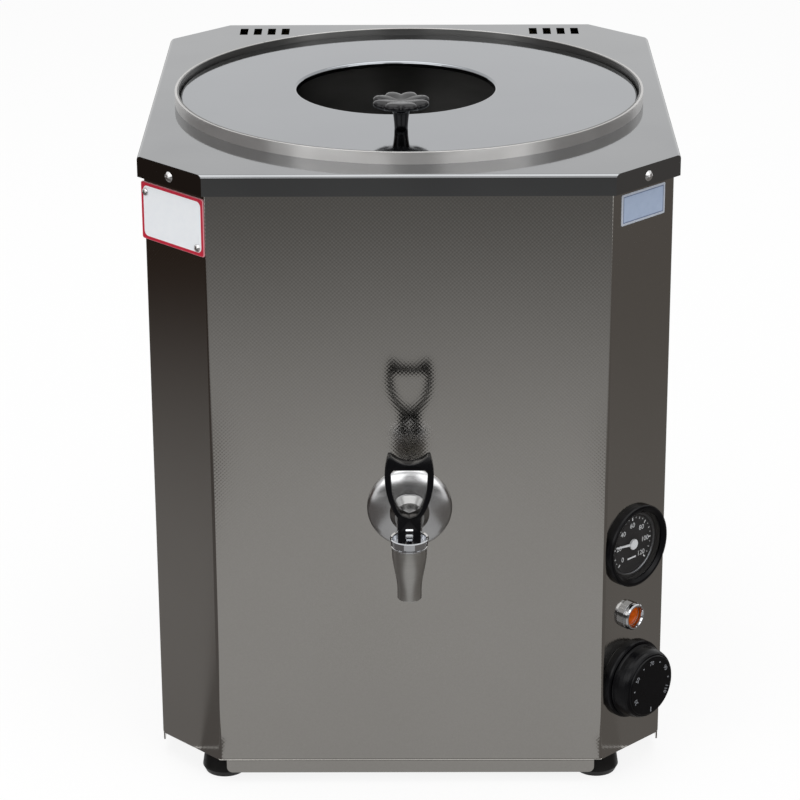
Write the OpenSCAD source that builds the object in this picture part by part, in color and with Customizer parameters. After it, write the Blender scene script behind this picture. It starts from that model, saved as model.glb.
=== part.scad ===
// Octagonal tea urn: a round water tank in a folded sheet casing, with a self-closing tap,
// a dial thermometer, a pilot lamp and a thermostat on the right front corner.
// The urn stands on z = 0, with the front towards -Y and the origin under the middle of its box.

/* [Tank] */
// Outer radius of the water tank
tank_r = 158.2; // [140:0.2:180]
// Thickness of the tank sheet
tank_wall = 1; // [0.8:0.1:1.5]
// Radius where the tank wall turns into its floor
tank_corner_r = 8; // [5:0.5:12]
// Height of the tank floor above the base plate
bay_h = 147; // [130:1:170]
// Height of the tank rim above the cover
rim_rise = 7.9; // [6:0.1:12]
// Thickness of the band round the rim
rim_t = 1.6; // [1:0.1:2.5]
// Open joint between the two ends of the rim band
rim_joint = 1; // [0.5:0.1:2]
// Direction of that joint from the middle of the tank, in degrees from the right-hand side
rim_joint_angle = 131; // [100:1:150]

/* [Casing] */
// Gap from the tank to the outside of the casing at either side
side_gap = 12.8; // [10:0.2:20]
// Gap from the tank to the outside of the casing at the front
front_gap = 20.8; // [18:0.2:30]
// Gap from the tank to the outside of the casing at the rear
rear_gap = 40.8; // [35:0.2:60]
// Leg of the four cut corners
corner_cut = 41.7; // [41:0.1:48]
// Height of the casing wall
casing_h = 413; // [390:1:450]
// Thickness of the casing sheet
sheet = 1; // [0.8:0.1:1.2]
// Outside radius of the upright bends
bend_r = 3; // [2:0.5:5]
// Width of the lip turned in at the foot of the casing
lip_w = 12; // [10:0.5:15]
// Length of side wall that belongs to the rear panel
rear_return = 14; // [10:1:25]
// Length of the tongue of the rear panel behind the side wall
lap_w = 12; // [10:0.5:18]

/* [Base and feet] */
// Height of the feet
foot_h = 17; // [12:0.5:25]
// Largest radius of a foot
foot_r = 15.5; // [12:0.5:18]
// Distance of a foot's axis from the side of the casing
foot_in_x = 44; // [40:0.5:60]
// Distance of a foot's axis from the front or rear of the casing
foot_in_y = 22; // [21:0.5:40]
// Height of the flanges turned down from the base plate
flange_h = 10.4; // [8:0.2:11]
// Distance from the end of a flange to the bend of the casing
flange_end = 4.6; // [3:0.2:10]
// Radius of the lower corners of a flange
flange_r = 4; // [2:0.5:6]
// Thickness of the base sheet
base_sheet = 1; // [0.8:0.1:1.5]
// Outside radius of the bend at the edge of the base
base_bend_r = 2; // [1.6:0.1:3]

/* [Top cover] */
// How far the cover stands out past the casing
overhang = 4; // [3.5:0.1:6]
// Height of the skirt of the cover
skirt_h = 14; // [11:0.5:20]
// Thickness of the cover sheet
cover_sheet = 1.2; // [1:0.1:1.5]
// Outside radius of the bend round the cover
cover_bend_r = 2.6; // [2:0.1:3.2]
// Width of a vent slot
vent_w = 5.8; // [4:0.2:7]
// Length of a vent slot
vent_l = 18; // [12:0.5:20]
// Distance from one vent slot to the next
vent_pitch = 10.2; // [9:0.2:12]
// Number of vent slots at each rear corner
vent_count = 4; // [2:1:5]
// Distance of the outermost slot from the bend of the rear corner
vent_in = 6; // [4:0.5:12]
// Distance of the slots from the rear edge of the cover
vent_edge = 13; // [10:0.5:16]
// Radius of the heads of the cover rivets
rivet_head_r = 3.5; // [3:0.1:4.5]
// Radius of the shanks of the rivets
rivet_r = 2; // [1.6:0.1:2.4]

/* [Lid] */
// Depth of the lid's face below the rim of the tank
lid_drop = 4; // [3:0.1:6]
// Thickness of the lid sheet
lid_sheet = 1; // [0.8:0.1:1.5]
// Height of the lip turned down round the lid
lid_lip = 6; // [4:0.5:9]
// Play between the lid and the tank wall
lid_play = 0.8; // [0.5:0.1:2]
// Radius of the teapot hole in the lid
hole_r = 68; // [55:0.5:72]
// Shift of the hole from the middle of the lid, to the right
hole_x = -9; // [-12:0.5:12]
// Shift of the hole from the middle of the lid, to the rear
hole_y = 12.6; // [5:0.2:20]
// Height of the lip turned down round the hole
hole_lip = 4; // [3:0.5:6]
// Radius of the bends of the lid
lid_bend_r = 2; // [1.6:0.1:3]
// Shift of the lid knob from the middle of the lid, to the right
knob_x = -5; // [-10:0.5:10]
// Shift of the lid knob from the middle of the lid, to the rear
knob_y = -91.3; // [-110:0.1:-85]
// Height of the lid knob
lid_knob_h = 21; // [18:0.2:28]
// Radius over the petals of the lid knob
lid_knob_r = 19.5; // [16:0.5:22]
// Radius of one petal
petal_r = 6.3; // [5.5:0.1:7]
// Number of petals
petals = 8; // [6:1:10]
// Radius of the foot of the lid knob
knob_foot_r = 4.4; // [4:0.1:6]
// Radius of the neck under the petals
knob_neck_r = 5.8; // [5:0.1:8]
// Radius of the lid knob's screw
knob_screw_r = 2; // [1.5:0.1:2.5]

/* [Tap] */
// Height of the tap's barrel above the tank floor
tap_rise = 38.5; // [34:0.5:60]
// Distance of the spout's axis in front of the casing
tap_reach = 91; // [80:0.5:110]
// Radius of the threaded shank
shank_r = 10.4; // [9:0.1:11]
// Radius of the barrel
barrel_r = 8.2; // [7:0.1:8.6]
// Radius of the waterway through the barrel
waterway_r = 5; // [4:0.1:5.5]
// Radius of the rosette
rosette_r = 28; // [24:0.5:32]
// Height of the rosette's boss in front of the casing
rosette_h = 8.5; // [7:0.5:10]
// Thickness of the rosette sheet
rosette_t = 1.2; // [0.8:0.1:1.5]
// Radius of the tap body under the bonnet
tap_body_r = 11.15; // [10.5:0.05:13]
// Height of the tap body above the barrel's axis
tap_body_rise = 12; // [10:0.1:14]
// Radius of the spout's end
spout_r = 7.7; // [7:0.1:9]
// Drop of the spout's end below the barrel's axis
spout_drop = 23.5; // [21:0.5:30]
// Radius of the spout's outlet
outlet_r = 5.2; // [4.5:0.1:5.6]
// Radius of the valve chamber
chamber_r = 7.2; // [7:0.1:7.8]
// Height of the bonnet
bonnet_h = 6.5; // [6:0.1:8]
// Radius of the bonnet's open rim
bonnet_rim_r = 12.3; // [12:0.1:14]
// Depth of the bonnet's cup
cup_h = 4.5; // [4:0.1:5]
// Radius of the valve stem
stem_r = 2; // [1.8:0.05:2.1]
// Radius of the handle pin
pin_r = 1.5; // [1.2:0.05:1.6]
// Height of the handle pin above the floor of the cup
pin_h = 5; // [4.6:0.1:5.4]
// Lift of the valve for each radian that the handle turns
lift_per_rad = 2.2; // [1.6:0.1:2.4]
// Angle through which the handle opens
open_angle = 60; // [45:1:60]
// Width of the handle's neck
neck_w = 14.4; // [13:0.1:15]
// Width of the slot in the neck
slot_w = 4.6; // [4.4:0.1:5.2]
// Height of the bottom of the finger loop above the floor of the cup
neck_h = 19.3; // [17:0.1:24]
// Height of the handle's horns above the bottom of the loop
loop_h = 38.2; // [34:0.1:44]
// Width over the finger loop
loop_w = 30.8; // [28:0.1:36]
// Width of the opening in the loop
loop_in_w = 23; // [20:0.1:25]
// Depth of the handle, front to back
handle_t = 8; // [7:0.1:9]
// Lean of the handle, towards the casing, at its horns
handle_lean = 7; // [4:0.5:9]
// Turns of the valve spring
spring_turns = 6; // [4:1:7]
// Radius of the spring wire
spring_wire_r = 0.45; // [0.3:0.05:0.5]

/* [Thermometer] */
// Height of the thermometer above the base plate
gauge_rise = 149; // [140:1:180]
// Radius of the thermometer's bezel
gauge_r = 28.5; // [27:0.5:29]
// Height of the bezel in front of the casing
gauge_proud = 4.5; // [4:0.1:7]
// Radius of the thermometer's case
gauge_case_r = 26; // [25.5:0.1:26.2]
// Depth of the case behind the casing
gauge_depth = 26; // [22:0.5:28]
// Depth of the dial behind the casing's face
dial_deep = 2.4; // [2:0.1:5]
// Length of the needle from its axis
needle_l = 17.5; // [14:0.5:20]
// Radius of the needle's hub
hub_r = 3.6; // [3:0.1:4.5]
// Direction of the needle at rest, in degrees from the right
needle_angle = 173; // [140:1:220]

/* [Pilot lamp] */
// Height of the lamp above the base plate
lamp_rise = 99; // [96:0.5:101]
// Shift of the lamp from the middle of the corner
lamp_shift = -4; // [-8:0.5:8]
// Radius of the lamp's bezel
lamp_r = 9.5; // [9:0.1:11]
// Height of the lamp's bezel in front of the casing
lamp_proud = 6.2; // [5.5:0.1:8]
// Radius of the lamp's threaded body
lamp_body_r = 6.8; // [6:0.1:7.2]
// Length of the lamp's body behind the casing
lamp_depth = 24; // [18:0.5:30]

/* [Thermostat] */
// Height of the thermostat above the base plate
thermostat_rise = 50.5; // [44:0.5:54]
// Radius of the fixed ring round the knob
ring_r = 27.3; // [26.5:0.1:28]
// Height of the ring in front of the casing
ring_h = 4; // [3:0.1:5]
// Radius of the knob's skirt
skirt_r = 25.5; // [24:0.1:26.2]
// Radius of the knob's grip
grip_r = 21.2; // [19:0.1:22]
// Height of the knob's face in front of the casing
grip_h = 18; // [16:0.5:22]
// Radius of the thermostat's shaft
shaft_r = 3; // [2.5:0.1:4]
// Width of the thermostat's body
thermostat_w = 44; // [38:0.5:48]
// Height of the thermostat's body
thermostat_h = 36; // [30:0.5:38]
// Depth of the thermostat's body
thermostat_d = 30; // [26:0.5:34]

/* [Heater and wiring] */
// Distance of the element's loop from the tank's wall
element_inset = 63.2; // [56:0.2:78]
// Radius of the element's tube
element_r = 4.2; // [3.5:0.1:5]
// Height of the loop above the tank floor
element_rise = 21; // [19:0.5:24]
// Half of the angle left open between the element's legs
element_gap_angle = 10; // [9:0.5:16]
// Radius of the temperature bulbs
bulb_r = 3.2; // [2.8:0.1:3.4]
// Length of the temperature bulbs
bulb_l = 46; // [36:0.5:50]
// Distance of each sensor pocket from the middle of the corner
pocket_shift = 14; // [12:0.5:16]
// Height of the sensor pockets above the tank floor
pocket_rise = 40; // [38:0.5:50]
// Distance of the cable gland from the middle of the rear panel
gland_x = 90; // [60:1:95]
// Height of the cable gland above the base plate
gland_rise = 32; // [24:1:60]
// Radius of the cable hole in the gland
gland_bore_r = 4.5; // [3.5:0.1:6]
// Length of the gland outside the casing
gland_out = 18; // [14:0.5:24]

/* [Hidden] */
$fn = 96;

// Clearances
fit = 0.3;
slip = 0.1;
running = 0.05;

// Main levels and outlines
body_w = 2 * (tank_r + side_gap);
body_d = 2 * tank_r + front_gap + rear_gap;
tank_y = (front_gap - rear_gap) / 2;
base_z = foot_h + base_sheet;
casing_top = base_z + casing_h;
cover_top = casing_top + cover_sheet;
rim_top = cover_top + rim_rise;
tank_floor = base_z + bay_h;
tank_in_r = tank_r - tank_wall;
seam_y = body_d / 2 - corner_cut - rear_return;
body_y = (tap_reach + bonnet_rim_r - gland_out) / 2;
through = 2 * (body_w + body_d);

// Sizes of fasteners
screw_r = 2;
screw_head_r = 3.6;
screw_head_h = 2.2;
bolt_r = 2.5;
bolt_head_r = 4.6;
nut_r = 4.8;
nut_h = 4;

function octagon(w, d, c) = [
  [c - w / 2, -d / 2], [w / 2 - c, -d / 2], [w / 2, c - d / 2], [w / 2, d / 2 - c],
  [w / 2 - c, d / 2], [c - w / 2, d / 2], [-w / 2, d / 2 - c], [-w / 2, c - d / 2]
];

// The casing's outline, moved outwards by grow
function casing_octagon(grow) =
  octagon(body_w + 2 * grow, body_d + 2 * grow, corner_cut + grow * (2 - sqrt(2)));

function unit(v) = v / norm(v);

// An octagon with rounded corners
module rounded_octagon(points, r) {
  n = len(points);
  tangent = r * tan(22.5);
  polygon([
    for (i = [0:n - 1]) for (step = [n - 1, 1])
      points[i] + tangent * unit(points[(i + step) % n] - points[i])
  ]);
  for (i = [0:n - 1]) {
    to_next = unit(points[(i + 1) % n] - points[i]);
    to_last = unit(points[(i + n - 1) % n] - points[i]);
    translate(points[i] + r / cos(22.5) * unit(to_next + to_last)) circle(r);
  }
}

// A wall that stands on the x axis, with its two upper corners rounded
module round_top(w, h, r) {
  translate([-w / 2, 0]) square([w, h - r]);
  translate([r - w / 2, 0]) square([w - 2 * r, h]);
  for (side = [-1, 1]) translate([side * (w / 2 - r), h - r]) circle(r);
}

// An octagonal block whose upper edges are bent over with the radius r
module bent_block(grow, h, r) {
  points = casing_octagon(grow);
  w = body_w + 2 * grow;
  d = body_d + 2 * grow;
  across = (body_w + body_d) / sqrt(2) - sqrt(2) * corner_cut + 2 * grow;
  intersection() {
    linear_extrude(h) polygon(points);
    rotate([90, 0, 0]) linear_extrude(through, center = true) round_top(w, h, r);
    rotate([90, 0, 90]) linear_extrude(through, center = true) round_top(d, h, r);
    for (turn = [-45, 45])
      rotate([90, 0, turn]) linear_extrude(through, center = true) round_top(across, h, r);
  }
}

// Places: the middle of the casing, the tank, the tap and the four cut corners
module at_body() { translate([0, body_y, 0]) children(); }

module at_tank() { at_body() translate([0, tank_y, 0]) children(); }

module at_tap() {
  at_body() translate([0, -body_d / 2 - tap_reach, tank_floor + tap_rise]) children();
}

module at_lid() {
  at_tank() translate([0, 0, rim_top - lid_drop]) children();
}

// On a corner's face, x runs level, y runs up and z points out of the casing
module on_corner(turn, z) {
  translate([sign(sin(turn)) * (body_w - corner_cut) / 2,
             -sign(cos(turn)) * (body_d - corner_cut) / 2, z])
    rotate([90, 0, turn]) children();
}

right_front = 45;
corners = [45, 135, 225, 315];

module on_controls(rise, shift = 0) {
  at_body() on_corner(right_front, base_z + rise) translate([shift, 0, 0]) children();
}

module at_feet() {
  for (x = [-1, 1]) for (y = [-1, 1])
    translate([x * (body_w / 2 - foot_in_x), y * (body_d / 2 - foot_in_y), 0]) children();
}

// A bolt that points up: the head's upper face is at z = 0
module bolt_up(r, head_r, head_h, length) {
  translate([0, 0, -head_h]) cylinder(h = head_h, r = head_r);
  translate([0, 0, -head_h / 2]) cylinder(h = length + head_h / 2, r = r);
}

module hex_nut(r, bore, h) {
  difference() {
    cylinder(h = h, r = r, $fn = 6);
    translate([0, 0, -1]) cylinder(h = h + 2, r = bore);
  }
}

// A dome of the given radius and height, standing on z = 0
module dome(r, h) {
  ball = (r * r + h * h) / (2 * h);
  rotate_extrude() intersection() {
    translate([0, h - ball]) circle(ball);
    square([r, h]);
  }
}

// A tube along points: each ring is square to the way between its neighbours
function along(points, i) =
  unit(points[min(i + 1, len(points) - 1)] - points[max(i - 1, 0)]);

function across_of(way) =
  unit(cross(way, abs(way[2]) < 0.8 ? [0, 0, 1] : [1, 0, 0]));

function carried(points, i) =
  i == 0 ? across_of(along(points, 0)) :
  let (way = along(points, i), last = carried(points, i - 1))
    unit(last - way * (last * way));

module tube(points, r, sides) {
  rings = len(points);
  body = [
    for (i = [0:rings - 1])
      let (way = along(points, i), a = carried(points, i), b = cross(way, a))
        for (k = [0:sides - 1])
          points[i] + r * (a * cos(360 * k / sides) + b * sin(360 * k / sides))
  ];
  walls = [
    for (i = [0:rings - 2]) for (k = [0:sides - 1])
      let (p = i * sides + k, q = i * sides + (k + 1) % sides)
        each [[p, p + sides, q + sides], [p, q + sides, q]]
  ];
  last = (rings - 1) * sides;
  ends = [
    for (k = [1:sides - 2]) each [[0, k, k + 1], [last, last + k + 1, last + k]]
  ];
  polyhedron(body, concat(walls, ends));
}

// A smooth route through hand-set points, with steps between each pair
function eased(p, steps) = [
  for (i = [0:len(p) - 2]) for (s = [0:steps - 1])
    let (t = s / steps, a = p[max(i - 1, 0)], b = p[i], c = p[i + 1],
         d = p[min(i + 2, len(p) - 1)])
      (2 * b + (c - a) * t + (2 * a - 5 * b + 4 * c - d) * t * t
        + (3 * b - a - 3 * c + d) * t * t * t) / 2,
  p[len(p) - 1]
];

// The base: a pan turned upside down, with its flanges cut away at the corners

base_screw_in = (lip_w + sheet) / 2;
base_screw_x = body_w / 2 - corner_cut - flange_end - 2 * lip_w;

module at_base_screws() {
  for (y = [-1, 1]) for (x = [-1, 1])
    translate([x * base_screw_x, y * (body_d / 2 - base_screw_in), 0]) children();
  for (x = [-1, 1]) translate([x * (body_w / 2 - base_screw_in), 0, 0]) children();
}

stand_r = tank_r - tank_corner_r - 20;
tab_l = 24;
tab_w = 30;
stand_sheet = 2;

module at_stand_tabs() {
  translate([0, tank_y, 0])
    for (turn = [45:90:315]) rotate([0, 0, turn]) translate([stand_r + tab_l / 2, 0, 0]) children();
}

earth_x = -60;
earth_y = body_d / 2 - 3 * lip_w;

module flange_window(length) {
  rotate([0, 0, 180]) translate([0, -foot_h]) round_top(length, flange_h - base_sheet, flange_r);
}

module base_plate() {
  front = body_w - 2 * corner_cut - 2 * flange_end;
  side = body_d - 2 * corner_cut - 2 * flange_end;
  color("silver") at_body() difference() {
    intersection() {
      translate([0, 0, base_z - flange_h]) difference() {
        bent_block(0, flange_h, base_bend_r);
        translate([0, 0, -base_sheet])
          bent_block(-base_sheet, flange_h, base_bend_r - base_sheet);
      }
      union() {
        translate([-body_w, -body_d, foot_h]) cube([2 * body_w, 2 * body_d, base_sheet]);
        rotate([90, 0, 0]) linear_extrude(through, center = true) flange_window(front);
        rotate([90, 0, 90]) linear_extrude(through, center = true) flange_window(side);
      }
    }
    at_feet() cylinder(h = through, r = bolt_r + slip);
    at_base_screws() cylinder(h = through, r = screw_r + slip);
    at_stand_tabs() cylinder(h = through, r = bolt_r + slip);
    translate([earth_x, earth_y, 0]) cylinder(h = through, r = bolt_r + slip);
  }
}

// The feet: moulded cups with a sunk screw
foot_sink = foot_h / 2;
foot_bevel = 4;
foot_draft = 2;

module foot(x, y) {
  color("black") at_body()
    translate([x * (body_w / 2 - foot_in_x), y * (body_d / 2 - foot_in_y), 0])
      difference() {
        rotate_extrude() polygon([
          [0, 0], [foot_r - foot_draft, 0], [foot_r, foot_bevel],
          [foot_r - foot_draft, foot_h], [0, foot_h]
        ]);
        translate([0, 0, -1]) cylinder(h = foot_h + 2, r = bolt_r + slip);
        translate([0, 0, -1]) cylinder(h = foot_sink + 1, r = bolt_head_r + 1);
      }
}

module foot_front_left() { foot(-1, -1); }

module foot_front_right() { foot(1, -1); }

module foot_rear_left() { foot(-1, 1); }

module foot_rear_right() { foot(1, 1); }

module foot_screws() {
  color("gray") at_body() at_feet() translate([0, 0, foot_sink])
    bolt_up(bolt_r, bolt_head_r, 3.5, foot_h - foot_sink + base_sheet + nut_h + 1);
}

module foot_nuts() {
  color("gray") at_body() at_feet() translate([0, 0, base_z]) hex_nut(nut_r, bolt_r + slip, nut_h);
}

// The casing: a front wrap of five faces and a rear panel of three
module casing_wall() {
  difference() {
    rounded_octagon(casing_octagon(0), bend_r);
    rounded_octagon(casing_octagon(-sheet), bend_r - sheet);
  }
}

module casing_lip() {
  difference() {
    rounded_octagon(casing_octagon(0), bend_r);
    polygon(casing_octagon(-lip_w));
  }
}

module front_half() { translate([-body_w, seam_y - 2 * body_d]) square(2 * [body_w, body_d]); }

module rear_half() { translate([-body_w, seam_y + fit]) square(2 * [body_w, body_d]); }

rear_screw_z = [base_z + 50, base_z + casing_h / 2, casing_top - 50];

module at_rear_screws() {
  for (side = [-1, 1]) for (z = rear_screw_z)
    translate([side * body_w / 2, seam_y - lap_w / 2, z]) rotate([0, side * 90, 0]) children();
}

rivet_z = cover_top - skirt_h / 2 - cover_sheet / 2;

module at_rivets() {
  for (turn = corners) on_corner(turn, rivet_z) children();
}

thermostat_screw_x = 14;

module control_holes() {
  on_corner(right_front, base_z + gauge_rise)
    cylinder(h = 20, r = gauge_case_r + slip, center = true);
  on_corner(right_front, base_z + lamp_rise)
    translate([lamp_shift, 0, 0]) cylinder(h = 20, r = lamp_body_r + slip, center = true);
  on_corner(right_front, base_z + thermostat_rise) {
    cylinder(h = 20, r = shaft_r + 2, center = true);
    for (x = [-1, 1]) translate([x * thermostat_screw_x, 0, 0])
      cylinder(h = 20, r = screw_r + slip, center = true);
  }
}

module front_casing() {
  color("gainsboro") at_body() difference() {
    translate([0, 0, base_z]) {
      linear_extrude(casing_h) intersection() {
        casing_wall();
        front_half();
      }
      linear_extrude(sheet) intersection() {
        casing_lip();
        front_half();
      }
    }
    translate([0, -body_d / 2, tank_floor + tap_rise]) rotate([90, 0, 0])
      cylinder(h = 20, r = shank_r + slip, center = true);
    control_holes();
    at_rivets() cylinder(h = 20, r = rivet_r + slip, center = true);
    at_base_screws() cylinder(h = through, r = screw_r + slip);
    at_rear_screws() cylinder(h = 20, r = screw_r + slip, center = true);
  }
}

module rear_panel() {
  tongue_x = body_w / 2 - 2 * sheet - fit;
  color("gainsboro") at_body() difference() {
    translate([0, 0, base_z]) {
      linear_extrude(casing_h) intersection() {
        casing_wall();
        rear_half();
      }
      linear_extrude(sheet) intersection() {
        casing_lip();
        rear_half();
      }
      for (side = [-1, 1]) translate([0, 0, sheet + fit]) linear_extrude(casing_h - sheet - fit) {
        translate([side * (tongue_x + sheet / 2), seam_y]) square([sheet, 2 * lap_w], center = true);
        translate([side * (tongue_x + sheet), seam_y + lap_w - sheet])
          square([2 * (sheet + fit), 2 * sheet], center = true);
      }
    }
    at_rivets() cylinder(h = 20, r = rivet_r + slip, center = true);
    at_base_screws() cylinder(h = through, r = screw_r + slip);
    at_rear_screws() cylinder(h = 20, r = screw_r + slip, center = true);
    translate([gland_x, body_d / 2, base_z + gland_rise]) rotate([90, 0, 0])
      cylinder(h = 20, r = gland_thread_r + slip, center = true);
  }
}

module base_screws() {
  color("gray") at_body() at_base_screws() translate([0, 0, foot_h])
    bolt_up(screw_r, screw_head_r, screw_head_h, base_sheet + sheet + 3);
}

module rear_screws() {
  color("gray") at_body() at_rear_screws() {
    dome(screw_head_r, screw_head_h);
    translate([0, 0, -2 * sheet - fit - 3]) cylinder(h = 2 * sheet + fit + 3.5, r = screw_r);
  }
}

// The cover: a pan with a doubled edge, a round hole for the tank and vents at the rear
module at_vents() {
  outer = body_w / 2 + overhang - corner_cut - overhang * (2 - sqrt(2)) - vent_in - vent_w;
  for (side = [0, 1]) mirror([side, 0, 0]) for (i = [0:vent_count - 1])
    translate([outer - i * vent_pitch, body_d / 2 + overhang - vent_edge - vent_l, 0]) children();
}

module top_cover() {
  hem_h = skirt_h - cover_bend_r - cover_sheet;
  color("lightgray") at_body() difference() {
    union() {
      translate([0, 0, cover_top - skirt_h]) difference() {
        bent_block(overhang, skirt_h, cover_bend_r);
        translate([0, 0, -cover_sheet])
          bent_block(overhang - cover_sheet, skirt_h, cover_bend_r - cover_sheet);
      }
      translate([0, 0, cover_top - skirt_h]) linear_extrude(hem_h) difference() {
        polygon(casing_octagon(overhang - cover_sheet / 2));
        polygon(casing_octagon(fit));
      }
    }
    translate([0, tank_y, 0]) cylinder(h = through, r = tank_r + fit);
    at_vents() cube([vent_w, vent_l, through]);
    at_rivets() cylinder(h = 20, r = rivet_r + slip, center = true);
  }
}

module cover_rivets() {
  head_h = rivet_head_r / 2;
  color("white") at_body() at_rivets() {
    translate([0, 0, overhang + 0.02]) dome(rivet_head_r, head_h);
    translate([0, 0, -sheet - 2]) cylinder(h = overhang + sheet + 2 + head_h / 2, r = rivet_r);
    translate([0, 0, -sheet - 2.5]) cylinder(h = 2.5, r = rivet_r + 0.8);
  }
}

// The tank, its rim band and the ledge that carries the lid

// Half section of a round vessel with a rounded bottom edge
module vessel_section(r, h, corner) {
  square([r - corner, h]);
  translate([0, corner]) square([r, h - corner]);
  intersection() {
    translate([r - corner, corner]) circle(corner);
    square([r, h]);
  }
}

loop_r = tank_r - element_inset;
leg_r = element_r + 0.8;
bush_r = leg_r + 2.6;
leg_x = loop_r * cos(element_gap_angle);
leg_y = loop_r * sin(element_gap_angle);

module at_legs() {
  for (side = [-1, 1]) translate([leg_x, side * leg_y, 0]) children();
}

// The tank as seen from the right front corner: its axis lies at this shift and depth
corner_x = (body_w - corner_cut) / 2;
corner_y = (corner_cut - body_d) / 2;
tank_shift = (tank_y - corner_x - corner_y) / sqrt(2);
tank_depth = (corner_x - corner_y + tank_y) / sqrt(2);
pocket_z = tank_floor + pocket_rise;
pocket_r = bulb_r + 0.5 + tank_wall;
pocket_in = tank_depth - tank_r;
pocket_l = bulb_l + 14;

module at_pockets() {
  at_body() on_corner(right_front, pocket_z) for (side = [-1, 1])
    translate([tank_shift + side * pocket_shift, 0, -pocket_in]) children();
}

module water_tank() {
  tap_z = tank_floor + tap_rise;
  color("silver") difference() {
    at_tank() translate([0, 0, tank_floor]) rotate_extrude() difference() {
      vessel_section(tank_r, rim_top - tank_floor, tank_corner_r);
      translate([0, tank_wall])
        vessel_section(tank_in_r, rim_top - tank_floor, tank_corner_r - tank_wall);
    }
    at_tank() translate([0, -tank_r, tap_z]) rotate([90, 0, 0])
      cylinder(h = 20, r = waterway_r + 1, center = true);
    at_tank() at_legs() translate([0, 0, tank_floor])
      cylinder(h = 10, r = bush_r + slip, center = true);
    at_pockets() cylinder(h = 20, r = pocket_r + slip, center = true);
  }
}

module rim_band() {
  open_angle_of_joint = rim_joint / tank_r * 180 / PI;
  color("white") at_tank() translate([0, 0, cover_top])
    rotate([0, 0, rim_joint_angle + open_angle_of_joint / 2])
      rotate_extrude(angle = 360 - open_angle_of_joint)
        translate([tank_r + slip, 0]) square([rim_t, rim_rise]);
}

ledge_w = 11;
ledge_h = 10;
ledge_t = 1.5;
ledge_z = rim_top - lid_drop - lid_lip - slip;

module lid_ledge() {
  r = tank_in_r - slip;
  color("silver") at_tank() translate([0, 0, ledge_z]) rotate_extrude() {
    translate([r - ledge_w, -ledge_t]) square([ledge_w, ledge_t]);
    translate([r - ledge_t, -ledge_h]) square([ledge_t, ledge_h]);
  }
}

// The stand: a ring on four posts, bolted to the base plate
stand_ring_w = 20;

module tank_stand() {
  color("gray") at_body() difference() {
    union() {
      translate([0, tank_y, tank_floor - stand_sheet]) difference() {
        cylinder(h = stand_sheet, r = stand_r + stand_sheet);
        translate([0, 0, -1])
          cylinder(h = stand_sheet + 2, r = stand_r + stand_sheet - stand_ring_w);
      }
      translate([0, tank_y, base_z]) for (turn = [45:90:315]) rotate([0, 0, turn]) {
        translate([stand_r - stand_sheet, -tab_w / 2, 0])
          cube([stand_sheet, tab_w, bay_h - stand_sheet / 2]);
        translate([stand_r - stand_sheet, -tab_w / 2, 0]) cube([tab_l, tab_w, stand_sheet]);
      }
    }
    at_stand_tabs() cylinder(h = base_z + 2 * stand_sheet, r = bolt_r + slip);
  }
}

module stand_screws() {
  color("gray") at_body() at_stand_tabs() {
    translate([0, 0, foot_h])
      bolt_up(bolt_r, bolt_head_r, 3, base_sheet + stand_sheet + nut_h + 1);
    translate([0, 0, base_z + stand_sheet]) hex_nut(nut_r, bolt_r - slip, nut_h);
  }
}

insulation_t = side_gap - sheet - 3 * fit;
insulation_z = tank_floor + tank_corner_r;
insulation_h = casing_top - insulation_z - 3 * fit;

module tank_insulation() {
  color("khaki") difference() {
    at_tank() translate([0, 0, insulation_z]) difference() {
      cylinder(h = insulation_h, r = tank_r + fit + insulation_t);
      translate([0, 0, -1]) cylinder(h = insulation_h + 2, r = tank_r + fit);
    }
    at_tap() rotate([-90, 0, 0]) cylinder(h = tap_reach + 2 * front_gap, r = socket_r + fit);
    at_pockets() cylinder(h = 6 * insulation_t, r = pocket_r + 3 * fit, center = true);
  }
}

module sensor_pockets() {
  color("silver") at_pockets() difference() {
    translate([0, 0, -pocket_l]) cylinder(h = pocket_l + 6, r = pocket_r);
    translate([0, 0, tank_wall - pocket_l]) cylinder(h = pocket_l + 7, r = pocket_r - tank_wall);
  }
}

// The heating element: a loop of tube whose two legs go down through the tank floor
leg_drop = 26;
bush_flange_r = bush_r + 3.5;
bush_flange_h = 4;
seal_h = 2;
element_nut_h = 6;
element_nut_r = bush_r + 4;
leg_end_z = tank_floor - leg_drop;

module heating_element() {
  z = tank_floor + element_rise;
  pin_l = 9;
  color("dimgray") at_tank() {
    translate([0, 0, z]) rotate([0, 0, element_gap_angle])
      rotate_extrude(angle = 360 - 2 * element_gap_angle) translate([loop_r, 0]) circle(element_r);
    at_legs() {
      translate([0, 0, leg_end_z]) cylinder(h = z + element_r + 1 - leg_end_z, r = leg_r);
      translate([0, 0, leg_end_z - pin_l]) cylinder(h = pin_l + 1, r = element_r / 2);
    }
  }
}

module element_bushes() {
  color("goldenrod") at_tank() at_legs() translate([0, 0, tank_floor]) difference() {
    union() {
      translate([0, 0, -seal_h - element_nut_h - 6])
        cylinder(h = seal_h + element_nut_h + 8, r = bush_r);
      translate([0, 0, tank_wall + seal_h]) cylinder(h = bush_flange_h, r = bush_flange_r);
      translate([0, 0, 0]) cylinder(h = tank_wall + seal_h + 1, r = bush_r);
    }
    translate([0, 0, -leg_drop]) cylinder(h = 2 * leg_drop, r = leg_r + running);
  }
}

module element_seals() {
  color("black") at_tank() at_legs() translate([0, 0, tank_floor + tank_wall]) difference() {
    cylinder(h = seal_h, r = bush_flange_r);
    translate([0, 0, -1]) cylinder(h = seal_h + 2, r = bush_r + slip);
  }
}

module element_nuts() {
  color("goldenrod") at_tank() at_legs() translate([0, 0, tank_floor - element_nut_h])
    hex_nut(element_nut_r, bush_r + slip, element_nut_h);
}

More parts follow.
